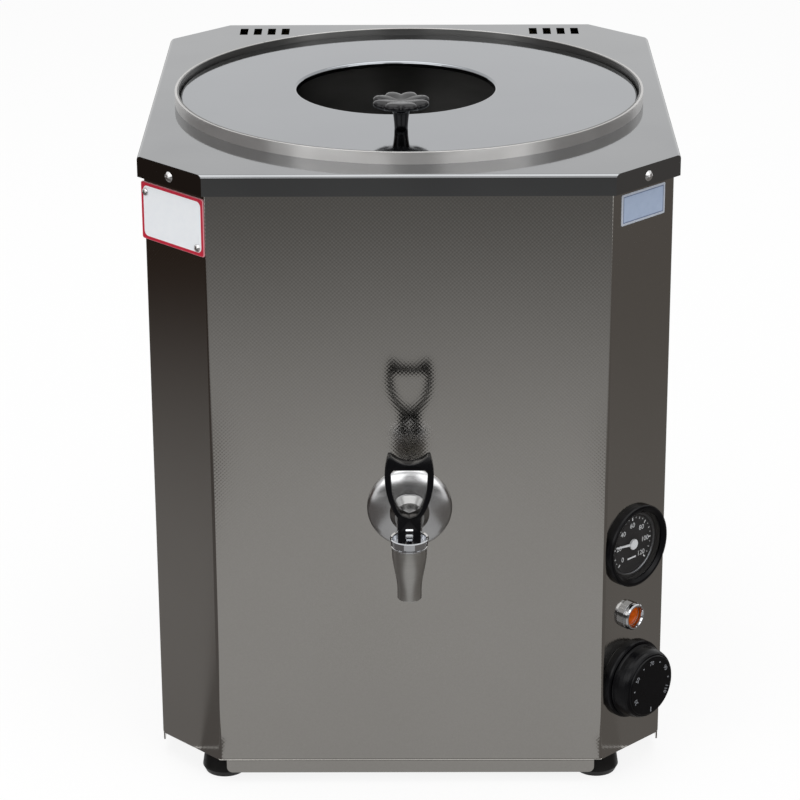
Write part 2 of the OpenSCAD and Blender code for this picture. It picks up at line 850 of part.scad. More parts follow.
// The tap: in its own frame the barrel's axis is y, towards the tank, and the spout's axis is z
socket_r = shank_r + 3.6;
tank_face = tap_reach + front_gap;
gasket_t = 2;
gasket_face = tank_face - 3 * fit;
shank_end = gasket_face - gasket_t - fit;

module tap_socket() {
  color("silver") difference() {
    at_tap() rotate([-90, 0, 0]) translate([0, 0, tap_reach + sheet + 1]) difference() {
      cylinder(h = front_gap, r = socket_r);
      translate([0, 0, -1]) cylinder(h = front_gap + 2, r = shank_r + slip);
    }
    at_tank() cylinder(h = rim_top, r = tank_r + running);
  }
}

module tap_gasket() {
  color("black") at_tap() rotate([-90, 0, 0]) translate([0, 0, gasket_face - gasket_t])
    difference() {
      cylinder(h = gasket_t, r = shank_r - slip);
      translate([0, 0, -1]) cylinder(h = gasket_t + 2, r = waterway_r + 1);
    }
}

module tap_rosette() {
  ball = (rosette_r * rosette_r + rosette_h * rosette_h) / (2 * rosette_h);
  color("white") at_tap() translate([0, tap_reach, 0]) rotate([90, 0, 0]) rotate_extrude()
    intersection() {
      difference() {
        translate([0, rosette_h - ball]) circle(ball);
        translate([0, rosette_h - ball]) circle(ball - rosette_t);
      }
      translate([shank_r + slip, 0]) square([rosette_r, rosette_h]);
    }
}

boss_r = shank_r + 2.6;
boss_h = 2.5;
seat_z = -6.5;
outlet_l = spout_drop + seat_z - 2;
taper_top = tap_body_rise - 2;
taper_end = 5.5 - spout_drop;
taper_steps = 16;

// Radius of the spout, easing from the body down to its straight end
function spout_radius(t) = spout_r + (tap_body_r - spout_r) * (1 + cos(180 * t)) / 2;

module tap_body() {
  boss_face = tap_reach - rosette_h - boss_h;
  color("silver") at_tap() difference() {
    union() {
      rotate_extrude() polygon(concat(
        [[0, tap_body_rise], [tap_body_r, tap_body_rise]],
        [for (i = [0:taper_steps])
          [spout_radius(i / taper_steps), taper_top + (taper_end - taper_top) * i / taper_steps]],
        [[spout_r, 0.8 - spout_drop], [spout_r - 0.6, -spout_drop], [0, -spout_drop]]
      ));
      rotate([-90, 0, 0]) {
        cylinder(h = shank_end, r = barrel_r);
        translate([0, 0, tap_reach - rosette_h - 1])
          cylinder(h = shank_end - tap_reach + rosette_h + 1, r = shank_r);
        translate([0, 0, boss_face]) cylinder(h = boss_h, r = boss_r);
        translate([0, 0, boss_face - boss_r + barrel_r])
          cylinder(h = boss_r - barrel_r, r1 = barrel_r, r2 = boss_r);
        translate([0, 0, boss_face - 3 * boss_h]) cylinder(h = boss_h, r = barrel_r + 1.4);
      }
    }
    rotate([-90, 0, 0]) cylinder(h = shank_end + 1, r = waterway_r);
    translate([0, 0, seat_z]) cylinder(h = tap_body_rise - seat_z + 1, r = chamber_r);
    translate([0, 0, -spout_drop - 1]) cylinder(h = spout_drop + seat_z + 2, r = outlet_r - 0.6);
    translate([0, 0, -spout_drop - 1]) cylinder(h = outlet_l + 1, r = outlet_r);
  }
}

cup_floor = tap_body_rise + bonnet_h - cup_h;
cup_r = bonnet_rim_r - 1.4;
bonnet_floor_t = 4;
spigot_h = tap_body_rise - waterway_r - 0.5;
spigot_r = chamber_r - slip;
spigot_in_r = spigot_r - 1.7;

module tap_bonnet() {
  top = tap_body_rise + bonnet_h;
  color("white") at_tap() rotate_extrude() polygon([
    [stem_r + running, cup_floor], [cup_r - 0.6, cup_floor], [cup_r, top - 0.6],
    [bonnet_rim_r - 0.5, top], [bonnet_rim_r, top - 0.6],
    [tap_body_r + 0.7, tap_body_rise + 2], [tap_body_r + 0.1, tap_body_rise + 1.5],
    [tap_body_r + 0.1, tap_body_rise + 1.2], [tap_body_r + 0.5, tap_body_rise + 0.9],
    [tap_body_r + 0.5, tap_body_rise + 0.3], [tap_body_r + 0.3, tap_body_rise],
    [spigot_r, tap_body_rise], [spigot_r, tap_body_rise - spigot_h],
    [spigot_in_r, tap_body_rise - spigot_h], [spigot_in_r, cup_floor - bonnet_floor_t],
    [stem_r + running, cup_floor - bonnet_floor_t]
  ]);
}

// The valve: a stem with an eye for the handle pin, a soft washer and a closing spring
washer_h = 2.3;
washer_r = chamber_r - 0.6;
shoulder_z = seat_z + slip + washer_h;
shoulder_h = 1.5;
shoulder_r = spigot_in_r - 0.4;
stub_r = stem_r - 0.2;
eye_r = pin_r + 1.7;
eye_t = slot_w - 0.8;
pin_z = cup_floor + pin_h;

module tap_stem() {
  barb_z = seat_z - 0.2;
  color("lightgray") at_tap() difference() {
    union() {
      translate([0, 0, barb_z - 1]) cylinder(h = shoulder_z - barb_z + 1.5, r = stub_r);
      translate([0, 0, barb_z - 1.2]) cylinder(h = 1.2, r = stub_r + 0.6);
      translate([0, 0, shoulder_z]) cylinder(h = shoulder_h, r = shoulder_r);
      translate([0, 0, shoulder_z]) cylinder(h = cup_floor - shoulder_z + 1, r = stem_r);
      rotate([90, 0, 90]) linear_extrude(eye_t, center = true) {
        translate([0, pin_z]) circle(eye_r);
        translate([-stem_r, cup_floor + 0.5]) square([2 * stem_r, pin_h - 0.5]);
      }
    }
    translate([0, 0, pin_z]) rotate([0, 90, 0])
      cylinder(h = neck_w, r = pin_r + running, center = true);
  }
}

module tap_seat_washer() {
  color("whitesmoke") at_tap() translate([0, 0, seat_z + slip]) difference() {
    cylinder(h = washer_h, r = washer_r);
    translate([0, 0, -1]) cylinder(h = washer_h + 2, r = stub_r + running);
  }
}

spring_r = (stem_r + running + spigot_in_r) / 2;
spring_foot = shoulder_z + shoulder_h + spring_wire_r + slip;
spring_head = cup_floor - bonnet_floor_t - spring_wire_r - slip;
spring_steps = 8;
spring_path = [
  for (i = [0:spring_turns * spring_steps])
    [spring_r * cos(360 * i / spring_steps), spring_r * sin(360 * i / spring_steps),
     spring_foot + (spring_head - spring_foot) * i / (spring_turns * spring_steps)]
];
echo(spring_least_gap = (spring_head - spring_foot) / spring_turns - 2 * spring_wire_r);

module tap_spring() {
  color("lightgray") at_tap() tube(spring_path, spring_wire_r, 6);
}

// The handle: its foot is an involute, so the valve lifts evenly as the handle comes forward
foot_gap = 0.25;
heel = handle_t / 2 + 1;
cam_steps = 10;
cam_base = pin_h - foot_gap;
function cam(a) =
  (cam_base + lift_per_rad * a * PI / 180) * [-sin(a), -cos(a)] + lift_per_rad * [-cos(a), sin(a)];

// Side view of the handle about its pin: y to the rear, z up
module handle_side() {
  toe = [for (i = [0:cam_steps]) cam((open_angle + 4) * i / cam_steps)];
  neck_top = neck_h - pin_h;
  top = neck_top + loop_h + 1;
  polygon(concat(
    [[heel, -cam_base]], toe,
    [[-handle_t / 2 - 1, pin_h], [-handle_t / 2 - 1, neck_top],
     [handle_lean - handle_t / 2, top], [handle_lean + handle_t / 2, top],
     [handle_t / 2, neck_top], [heel, pin_h]]
  ));
}

// Front view of the handle about its pin: half widths rise with the height above the neck
loop_wide_h = 0.68 * loop_h;
horn_x = 0.37 * loop_w;
bar_drop = 4.9;
bar_t = 3.8;
function loop_out(h) = h < loop_wide_h
  ? neck_w / 2 + (loop_w - neck_w) / 2 * sin(90 * pow(h / loop_wide_h, 0.8))
  : loop_w / 2 - (loop_w / 2 - horn_x) * 0.55 * pow((h - loop_wide_h) / (loop_h - loop_wide_h), 2);
function loop_in(s) = loop_in_w / 2 * sqrt(1 - pow(1 - s, 2.2));

module handle_front() {
  steps = 16;
  bottom = neck_h - pin_h;
  in_top = loop_h - bar_drop - bar_t;
  right = [for (i = [0:steps]) let (h = loop_h * i / steps) [loop_out(h), bottom + h]];
  saddle = [for (i = [-4:4]) let (x = -horn_x * i / 4)
    [x, bottom + loop_h - bar_drop * (1 - pow(i / 4, 2))]];
  left = [for (i = [steps:-1:0]) [-right[i][0], right[i][1]]];
  opening = [for (i = [0:steps]) let (s = i / steps) [loop_in(s), bottom + (in_top - 2) * s]];
  difference() {
    polygon(concat(
      [[-neck_w / 2, -cam_base - 1], [neck_w / 2, -cam_base - 1]], right, saddle, left
    ));
    polygon(concat(
      opening, [[loop_in_w / 2 - 1.5, bottom + in_top], [1.5 - loop_in_w / 2, bottom + in_top]],
      [for (i = [steps:-1:1]) [-opening[i][0], opening[i][1]]]
    ));
  }
}

module tap_handle() {
  slot_top = eye_r + 3.6;
  color("black") at_tap() translate([0, 0, pin_z]) difference() {
    intersection() {
      rotate([90, 0, 90]) linear_extrude(2 * loop_w, center = true) handle_side();
      rotate([90, 0, 0]) linear_extrude(6 * handle_t, center = true) handle_front();
    }
    translate([-slot_w / 2, -3 * handle_t, -2 * pin_h])
      cube([slot_w, 6 * handle_t, 2 * pin_h + slot_top]);
    rotate([0, 90, 0]) cylinder(h = 2 * neck_w, r = pin_r + 0.02, center = true);
  }
}

module handle_pin() {
  color("lightgray") at_tap() translate([0, 0, pin_z]) rotate([0, 90, 0])
    cylinder(h = neck_w, r = pin_r, center = true);
}

// The thermometer: z = 0 is the casing's face
gauge_rim_t = 1;
glass_t = 1;
glass_z = 1.2;
dial_t = 0.8;
dial_r = gauge_case_r - 1.6;
arbor_r = 0.8;
stud_x = 12;
stud_r = 2;
stud_l = 12;
clamp_t = 1.2;
clamp_w = 14;
clamp_x = gauge_case_r + fit;

module gauge_case() {
  floor_z = -dial_deep - dial_t;
  color("black") on_controls(gauge_rise) {
    difference() {
      union() {
        translate([0, 0, -gauge_depth]) cylinder(h = gauge_depth + gauge_rim_t, r = gauge_case_r);
        cylinder(h = gauge_rim_t, r = gauge_case_r + 1.2);
      }
      translate([0, 0, floor_z]) cylinder(h = gauge_depth, r = dial_r + slip);
      translate([0, 0, floor_z - 6]) cylinder(h = gauge_depth, r = arbor_r + running);
    }
    for (x = [-1, 1]) translate([x * stud_x, 0, -gauge_depth - stud_l])
      cylinder(h = stud_l + 1, r = stud_r);
  }
}

module gauge_dial() {
  color("black") on_controls(gauge_rise) translate([0, 0, -dial_deep - dial_t]) difference() {
    cylinder(h = dial_t, r = dial_r);
    translate([0, 0, -1]) cylinder(h = dial_t + 2, r = arbor_r + slip);
  }
}

needle_t = 0.6;

module gauge_needle() {
  tail = 0.9;
  tip = 0.45;
  color("white") on_controls(gauge_rise) {
    translate([0, 0, 0.9 - dial_deep]) cylinder(h = needle_t + 0.6, r = hub_r);
    translate([0, 0, -dial_deep - dial_t - 5.5]) cylinder(h = dial_t + 7, r = arbor_r);
    rotate([0, 0, needle_angle]) translate([0, 0, 1 - dial_deep]) linear_extrude(needle_t)
      polygon([[0, -tail], [needle_l, -tip], [needle_l, tip], [0, tail]]);
  }
}

module gauge_glass() {
  color("azure", 0.3) on_controls(gauge_rise) translate([0, 0, glass_z])
    cylinder(h = glass_t, r = gauge_case_r - 0.6);
}

module gauge_bezel() {
  lip_z = glass_z + glass_t + 0.2;
  lip_r = gauge_case_r - 2.4;
  color("black") on_controls(gauge_rise) rotate_extrude() polygon([
    [gauge_case_r + 1.4, 0], [gauge_r, 0], [gauge_r, gauge_proud - 1.4],
    [gauge_r - 0.5, gauge_proud - 0.4], [gauge_r - 1.6, gauge_proud],
    [gauge_r - 2.8, gauge_proud - 0.2], [lip_r, lip_z + 0.4], [lip_r, lip_z],
    [gauge_case_r - 0.4, lip_z], [gauge_case_r - 0.4, gauge_rim_t + 0.1],
    [gauge_case_r + 1.4, gauge_rim_t + 0.1]
  ]);
}

module gauge_clamp() {
  bar_z = -gauge_depth - 2 - clamp_t;
  color("silver") on_controls(gauge_rise) difference() {
    union() {
      translate([-clamp_x - clamp_t, -clamp_w / 2, bar_z])
        cube([2 * (clamp_x + clamp_t), clamp_w, clamp_t]);
      for (x = [-1, 1]) translate([x * (clamp_x + clamp_t / 2), 0, (bar_z - sheet) / 2])
        cube([clamp_t, clamp_w, -bar_z - sheet], center = true);
    }
    for (x = [-1, 1]) translate([x * stud_x, 0, bar_z - 1])
      cylinder(h = clamp_t + 2, r = stud_r + slip);
  }
}

module gauge_clamp_nuts() {
  color("goldenrod") on_controls(gauge_rise) for (x = [-1, 1])
    translate([x * stud_x, 0, -gauge_depth - 2 - clamp_t - 3])
      hex_nut(stud_r + 2.2, stud_r + slip, 3);
}

// The temperature sensors: a thin pipe from the instrument to a bulb in its pocket.
// Points are in the corner's frame at the height of the base plate: shift, height, depth.
pipe_r = 1;
pocket_y = bay_h + pocket_rise;
bulb_back = -pocket_in - pocket_l + tank_wall + 3;
bulb_front = bulb_back + bulb_l;

module sensor(points, side) {
  x = tank_shift + side * pocket_shift;
  color("peru") on_controls(0) {
    translate([x, pocket_y, bulb_back]) cylinder(h = bulb_l, r = bulb_r);
    tube(eased(concat(points, [[x, pocket_y, 12 - pocket_in], [x, pocket_y, 2 - pocket_in],
                               [x, pocket_y, bulb_front - 1]]), 3), pipe_r, 8);
  }
}

module gauge_sensor() {
  y = gauge_rise + clamp_w / 2 + 6;
  back = -gauge_depth - 0.2;
  sensor([[0, y, back], [0, y, back - 5], [-4, y + 6, back - 9],
          [tank_shift - pocket_shift - 2, pocket_y - 8, back - 9]], -1);
}

module thermostat_sensor() {
  y = thermostat_rise + thermostat_h / 2 + 0.2;
  deep = -sheet - thermostat_d / 2;
  x = tank_shift + pocket_shift;
  wool = insulation_t + 2.6 - pocket_in;
  sensor([[10, y, deep], [10, y + 8, deep], [16, y + 30, deep - 8], [x + 6, lamp_rise + 20, wool + 8],
          [x + 4, gauge_rise, wool + 1], [x, pocket_y - 14, wool]], 1);
}

// The pilot lamp
lamp_nut_h = 4;
lens_z = lamp_proud - 4;

module lamp_bezel() {
  groove = 0.45 * lamp_proud;
  bore = lamp_body_r + slip;
  mouth = lamp_r - 2;
  color("white") on_controls(lamp_rise, lamp_shift) rotate_extrude() polygon([
    [bore, 0], [lamp_r, 0], [lamp_r, groove - 0.3], [lamp_r - 0.6, groove],
    [lamp_r - 0.6, groove + 0.5], [lamp_r - 0.2, groove + 0.8], [lamp_r - 0.4, lamp_proud - 0.8],
    [lamp_r - 1.1, lamp_proud], [mouth, lamp_proud], [bore, lamp_proud - 1.6]
  ]);
}

module lamp_lens() {
  color("darkorange") on_controls(lamp_rise, lamp_shift) translate([0, 0, lens_z])
    dome(lamp_body_r - 0.1, 2);
}

module lamp_body() {
  color("white") on_controls(lamp_rise, lamp_shift) {
    translate([0, 0, -lamp_depth]) cylinder(h = lamp_depth + lens_z, r = lamp_body_r);
    for (x = [-1, 1]) translate([x * 2.5 - 0.4, -1.5, -lamp_depth - 6]) cube([0.8, 3, 7]);
  }
}

module lamp_nut() {
  color("silver") on_controls(lamp_rise, lamp_shift) translate([0, 0, -sheet - lamp_nut_h])
    hex_nut(lamp_body_r + 3.4, lamp_body_r + slip, lamp_nut_h);
}

// The thermostat: a closed body behind the casing, a fixed ring and a turning knob
thermostat_screw_l = 6;
ring_in_r = thermostat_screw_x + screw_head_r + 1;
shaft_back = 16;
hub_out_r = shaft_r + 3.5;
knob_wall = 2.4;

module thermostat_body() {
  color("dimgray") on_controls(thermostat_rise) difference() {
    union() {
      translate([-thermostat_w / 2, -thermostat_h / 2, -sheet - thermostat_d])
        cube([thermostat_w, thermostat_h, thermostat_d]);
      for (x = [-1, 0, 1]) translate([x * 12 - 3, -thermostat_h / 2 + 6, -sheet - thermostat_d - 8])
        cube([6, 0.8, 9]);
    }
    translate([0, 0, -sheet - shaft_back - 0.5]) cylinder(h = shaft_back + 2, r = shaft_r + running);
    for (x = [-1, 1]) translate([x * thermostat_screw_x, 0, -sheet - thermostat_screw_l - 1])
      cylinder(h = thermostat_screw_l + 2, r = screw_r + slip);
  }
}

module thermostat_screws() {
  color("gray") on_controls(thermostat_rise) for (x = [-1, 1])
    translate([x * thermostat_screw_x, 0, 0]) {
      dome(screw_head_r, screw_head_h);
      translate([0, 0, -sheet - thermostat_screw_l])
        cylinder(h = sheet + thermostat_screw_l + 0.5, r = screw_r);
    }
}

module thermostat_ring() {
  color("black") on_controls(thermostat_rise) rotate_extrude() polygon([
    [ring_in_r, 0], [ring_r, 0], [ring_r, ring_h - 1.6], [ring_r - 0.5, ring_h - 0.5],
    [ring_r - 1.6, ring_h], [ring_in_r + 1, ring_h], [ring_in_r, ring_h - 1]
  ]);
}

module thermostat_shaft() {
  color("silver") on_controls(thermostat_rise) translate([0, 0, -sheet - shaft_back])
    cylinder(h = sheet + shaft_back + grip_h - knob_wall - 0.5, r = shaft_r);
}

module thermostat_knob() {
  foot = ring_h + fit;
  bulge = skirt_r - 0.8 - grip_r;
  slope = grip_h - 1 - foot - 2.3;
  inner = grip_r - knob_wall;
  color("black") on_controls(thermostat_rise) rotate_extrude() polygon([
    [shaft_r + 0.02, foot - 1], [hub_out_r, foot - 1], [hub_out_r, grip_h - knob_wall],
    [inner, grip_h - knob_wall], [inner, foot],
    [skirt_r - 0.8, foot], [skirt_r, foot + 0.6], [skirt_r, foot + 1.6],
    for (a = [0:15:75]) [grip_r + bulge * cos(a), foot + 2.3 + slope * sin(a)],
    [grip_r, grip_h - 1], [grip_r - 0.3, grip_h - 0.3], [grip_r - 1, grip_h],
    [0, grip_h], [0, grip_h - knob_wall - 0.4], [shaft_r + 0.02, grip_h - knob_wall - 0.4]
  ]);
}

// The lid: a shallow pan with a hole for the teapot, a knob and the knob's screw
lid_r = tank_in_r - lid_play;

// Half section of a disc of radius r with its edge turned down
module lid_section(r, lip) {
  rotate_extrude() difference() {
    translate([0, -lip]) intersection() {
      round_top(2 * r, lip, lid_bend_r);
      square([r, lip]);
    }
    translate([0, -lip - lid_sheet]) intersection() {
      round_top(2 * (r - lid_sheet), lip, lid_bend_r - lid_sheet);
      square([r, lip]);
    }
  }
}

// Half section of the lip turned down into a hole of radius r
module hole_section(r, lip) {
  outer = r + lid_bend_r;
  rotate_extrude() translate([outer, -lid_bend_r]) {
    intersection() {
      difference() {
        circle(lid_bend_r);
        circle(lid_bend_r - lid_sheet);
      }
      translate([-lid_bend_r, 0]) square(lid_bend_r);
    }
    translate([-lid_bend_r, lid_bend_r - lip]) square([lid_sheet, lip - lid_bend_r]);
  }
}

module lid_plate() {
  color("lightgray") at_lid() difference() {
    union() {
      difference() {
        lid_section(lid_r, lid_lip);
        translate([hole_x, hole_y, -lid_lip]) cylinder(h = 2 * lid_lip, r = hole_r + lid_bend_r);
      }
      translate([hole_x, hole_y, 0]) hole_section(hole_r, hole_lip);
    }
    translate([knob_x, knob_y, -lid_lip]) cylinder(h = 2 * lid_lip, r = knob_screw_r + slip);
  }
}

module lid_knob() {
  neck_top = 0.6 * lid_knob_h;
  rim = 0.85 * lid_knob_h;
  screw_in = 0.45 * lid_knob_h;
  color("black") at_lid() translate([knob_x, knob_y, 0]) difference() {
    union() {
      cylinder(h = neck_top, r1 = knob_foot_r, r2 = knob_neck_r);
      intersection() {
        linear_extrude(2 * lid_knob_h) {
          circle(lid_knob_r - petal_r);
          for (i = [0:petals - 1]) rotate(360 * (i + 0.5) / petals)
            translate([lid_knob_r - petal_r, 0]) circle(petal_r);
        }
        rotate_extrude() polygon([
          [0, neck_top - 0.5], [knob_neck_r, neck_top - 0.5], [lid_knob_r, rim - 0.6],
          [lid_knob_r, rim + 0.8], [lid_knob_r - 2, lid_knob_h - 0.6],
          [lid_knob_r - petal_r, lid_knob_h], [lid_knob_r / 2, lid_knob_h - 1], [0, lid_knob_h - 2.4]
        ]);
      }
    }
    translate([0, 0, -1]) cylinder(h = screw_in + 1, r = knob_screw_r + 0.02);
  }
}

module lid_knob_screw() {
  color("gray") at_lid() translate([knob_x, knob_y, -lid_sheet])
    bolt_up(knob_screw_r, knob_screw_r + 2, 2.4, lid_sheet + 0.4 * lid_knob_h);
}

// The supply: a terminal block, an earth stud and the gland where the cord comes in
gland_thread_r = gland_bore_r + 3;
gland_nut_h = 5;
block_x = 60;
block_y = body_d / 2 - 42;
block_w = 36;
block_d = 20;
block_h = 18;

module terminal_block() {
  pole = block_w / 3;
  color("white") at_body() translate([block_x, block_y, base_z]) difference() {
    translate([-block_w / 2, -block_d / 2, 0]) cube([block_w, block_d, block_h]);
    for (i = [-1:1]) translate([i * pole, 0, 0]) {
      translate([0, 0, block_h - 6]) cylinder(h = 7, r = 2.6);
      translate([0, 0, block_h / 2 - 2]) rotate([90, 0, 0])
        cylinder(h = block_d + 2, r = 2.4, center = true);
    }
  }
}

module at_gland() {
  at_body() translate([gland_x, body_d / 2, base_z + gland_rise]) rotate([-90, 0, 0]) children();
}

module cable_gland() {
  thread_l = sheet + gland_nut_h + 3;
  flange_t = 5;
  color("black") at_gland() difference() {
    union() {
      translate([0, 0, -thread_l]) cylinder(h = thread_l + 1, r = gland_thread_r);
      cylinder(h = flange_t, r = gland_thread_r + 4, $fn = 6);
      rotate_extrude() polygon([
        [0, flange_t - 1], [gland_thread_r + 2.4, flange_t - 1], [gland_thread_r + 2.4, gland_out - 5],
        [gland_bore_r + 2, gland_out], [0, gland_out]
      ]);
    }
    translate([0, 0, -thread_l - 1]) cylinder(h = thread_l + gland_out + 2, r = gland_bore_r);
    translate([0, 0, -thread_l - 1]) cylinder(h = thread_l + 2, r = gland_bore_r + 0.6);
  }
}

module gland_nut() {
  color("black") at_gland() translate([0, 0, -sheet - gland_nut_h])
    hex_nut(gland_thread_r + 4, gland_thread_r + slip, gland_nut_h);
}

module earth_stud() {
  color("goldenrod") at_body() translate([earth_x, earth_y, foot_h]) {
    bolt_up(bolt_r, bolt_head_r, 3, base_sheet + 18);
    translate([0, 0, base_sheet]) cylinder(h = nut_h, r = nut_r, $fn = 6);
  }
}

// The wires: from the terminal block to the thermostat, the element and the lamp
wire_r = 1.5;
leg_tip = leg_end_z - 9.5;
block_face = block_y - block_d / 2 - 0.5;
block_hole_z = base_z + block_h / 2 - 2;

function from_corner(shift, rise, deep) =
  [corner_x + (shift + deep) / sqrt(2), corner_y + (shift - deep) / sqrt(2), base_z + rise];

blade_deep = -sheet - thermostat_d - 8.5;
blade_rise = thermostat_rise - thermostat_h / 2 + 6.4;
lamp_tail_deep = -lamp_depth - 6.5;

function leaving(p, way) = [p, p + way / 2, p + way];

function arriving(p, way) = [p + way, p + way / 2, p];

module wiring() {
  pole = block_w / 3;
  front = [0, -12, 0];
  inward = [-10, 10, 0];
  low = base_z + 6;
  rear_leg = [leg_x, tank_y + leg_y, leg_tip];
  front_leg = [leg_x, tank_y - leg_y, leg_tip];
  feed = [block_x, block_face, block_hole_z];
  live = from_corner(-12, blade_rise, blade_deep);
  tapped = from_corner(0, blade_rise, blade_deep);
  switched = from_corner(12, blade_rise, blade_deep);
  lamp_live = from_corner(lamp_shift - 2.5, lamp_rise, lamp_tail_deep);
  lamp_neutral = from_corner(lamp_shift + 2.5, lamp_rise, lamp_tail_deep);
  up = [0, 0, -14];
  color("crimson") at_body() {
    tube(eased(concat(leaving(feed - [pole, 0, 0], front),
                      [[leg_x - 24, 40, low], [leg_x + 16, -40, low], live + [-4, 44, -30]],
                      arriving(live, inward)), 2), wire_r, 8);
    tube(eased(concat(leaving(switched, inward),
                      [switched + [-2, 44, 24], front_leg + [14, -22, -36]],
                      arriving(front_leg, up)), 2), wire_r, 8);
    tube(eased(concat(leaving(feed, front), [[leg_x - 14, rear_leg[1] + 50, leg_tip - 70]],
                      arriving(rear_leg, up)), 2), wire_r, 8);
    tube(eased(concat(leaving(feed + [pole, 0, 0], front),
                      [[leg_x + 40, 50, low + 20], [leg_x + 46, -40, low + 44],
                       lamp_neutral + [6, 44, -10]],
                      arriving(lamp_neutral, inward)), 2), wire_r, 8);
    tube(eased(concat(leaving(tapped, inward), [(tapped + lamp_live) / 2 + 1.4 * inward],
                      arriving(lamp_live, inward)), 2), wire_r, 8);
  }
}

base_plate();
foot_front_left();
foot_front_right();
foot_rear_left();
foot_rear_right();
foot_screws();
foot_nuts();
front_casing();
rear_panel();
base_screws();
rear_screws();
top_cover();
cover_rivets();
water_tank();
rim_band();
lid_ledge();
tank_stand();
stand_screws();
tank_insulation();
sensor_pockets();
heating_element();
element_bushes();
element_seals();
element_nuts();
tap_socket();
tap_gasket();
tap_rosette();
tap_body();
tap_bonnet();
tap_stem();
tap_seat_washer();
tap_spring();
tap_handle();
handle_pin();
gauge_case();
gauge_dial();
gauge_needle();
gauge_glass();
gauge_bezel();
gauge_clamp();
gauge_clamp_nuts();
gauge_sensor();
lamp_bezel();
lamp_lens();
lamp_body();
lamp_nut();
thermostat_body();
thermostat_ring();
thermostat_shaft();
thermostat_knob();
thermostat_screws();
thermostat_sensor();
lid_plate();
lid_knob();
lid_knob_screw();
terminal_block();
cable_gland();
gland_nut();
earth_stud();
wiring();
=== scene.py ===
"""A tea urn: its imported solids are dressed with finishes, markings and rounded mouldings."""

import bmesh
import bpy
import numpy as np
from mathutils import Matrix


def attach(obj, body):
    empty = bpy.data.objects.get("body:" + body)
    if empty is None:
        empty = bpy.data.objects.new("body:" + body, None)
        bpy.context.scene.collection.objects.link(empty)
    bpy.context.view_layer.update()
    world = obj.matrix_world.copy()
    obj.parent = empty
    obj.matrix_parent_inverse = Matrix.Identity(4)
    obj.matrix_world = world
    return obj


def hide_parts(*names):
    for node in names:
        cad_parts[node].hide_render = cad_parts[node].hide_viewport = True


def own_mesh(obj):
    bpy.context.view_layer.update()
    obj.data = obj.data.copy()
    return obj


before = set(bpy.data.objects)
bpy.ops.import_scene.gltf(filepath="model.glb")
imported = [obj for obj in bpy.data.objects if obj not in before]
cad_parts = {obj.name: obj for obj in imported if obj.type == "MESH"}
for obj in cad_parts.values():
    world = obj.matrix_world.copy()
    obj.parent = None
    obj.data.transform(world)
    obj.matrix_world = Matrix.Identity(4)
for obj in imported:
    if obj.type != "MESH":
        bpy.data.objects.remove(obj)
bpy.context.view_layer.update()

# The casing is folded from stainless sheet with a fine linen emboss. A front wrap and a rear panel
# stand on the base plate, lapped and screwed at the sides.


class Wire:
    """One socket of a material. Its operators add Math nodes, and make() adds any other node."""

    def __init__(self, tree, socket):
        self.tree = tree
        self.socket = socket

    def make(self, kind, sockets, settings=None, output=0):
        """A node of one kind: its settings first, then the values or links of its sockets."""
        node = self.tree.nodes.new(kind)
        for name, value in (settings or {}).items():
            setattr(node, name, value)
        for key, value in sockets.items():
            if isinstance(value, Wire):
                self.tree.links.new(value.socket, node.inputs[key])
            else:
                node.inputs[key].default_value = value
        return Wire(self.tree, node.outputs[output])

    def math(self, operation, first, second=0.0):
        return self.make("ShaderNodeMath", {0: first, 1: second}, {"operation": operation})

    def __add__(self, other):
        return self.math("ADD", self, other)

    def __mul__(self, other):
        return self.math("MULTIPLY", self, other)

    def __rsub__(self, other):
        return self.math("SUBTRACT", other, self)

    def sine(self):
        return self.math("SINE", self)

    def rise(self, low, high):
        """0 below low, 1 above high, with a smooth step between."""
        return self.make(
            "ShaderNodeMapRange",
            {"Value": self, "From Min": low, "From Max": high},
            {"interpolation_type": "SMOOTHSTEP"},
        )

    def part(self, axis):
        """One of x, y and z of a vector."""
        return self.make("ShaderNodeSeparateXYZ", {0: self}, output="XYZ".index(axis))

    def vector(self, operation, other, output=0):
        settings = {"operation": operation}
        return self.make("ShaderNodeVectorMath", {0: self, 1: other}, settings, output)

    def stretched(self, scale):
        return self.make("ShaderNodeMapping", {"Vector": self, "Scale": scale})

    def noise(self, scale, detail):
        return self.make("ShaderNodeTexNoise", {"Vector": self, "Scale": scale, "Detail": detail})

    def blend(self, first, second):
        """The first colour where this value is 0, and the second where it is 1."""
        settings = {"data_type": "RGBA"}
        return self.make("ShaderNodeMix", {0: self, 6: first, 7: second}, settings, output=2)

    def tint(self, dark, light):
        """A colour between dark and light, by this value from 0 to 1."""
        return self.blend((*dark, 1.0), (*light, 1.0))

    def bump(self, strength, depth):
        sockets = {"Strength": strength, "Distance": depth, "Height": self}
        return self.make("ShaderNodeBump", sockets)


def source(tree, kind, output=0):
    """One output of a new node that takes no links."""
    return Wire(tree, tree.nodes.new(kind).outputs[output])


def finish(name, **fixed):
    """A Principled material with its even values set, and the place on the piece as a Wire."""
    material = bpy.data.materials.new(name)
    material.use_nodes = True
    tree = material.node_tree
    shader = tree.nodes["Principled BSDF"]
    for socket, value in fixed.items():
        shader.inputs[socket.replace("_", " ")].default_value = value
    return material, source(tree, "ShaderNodeTexCoord", "Object")


def drive(material, **wires):
    """Links wires to the shader's sockets."""
    tree = material.node_tree
    shader = tree.nodes["Principled BSDF"]
    for socket, wire in wires.items():
        tree.links.new(wire.socket, shader.inputs[socket.replace("_", " ")])


def dress(material, *nodes):
    """Puts a material on solids of the frame."""
    for name in nodes:
        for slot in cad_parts[name].material_slots:
            slot.material = material


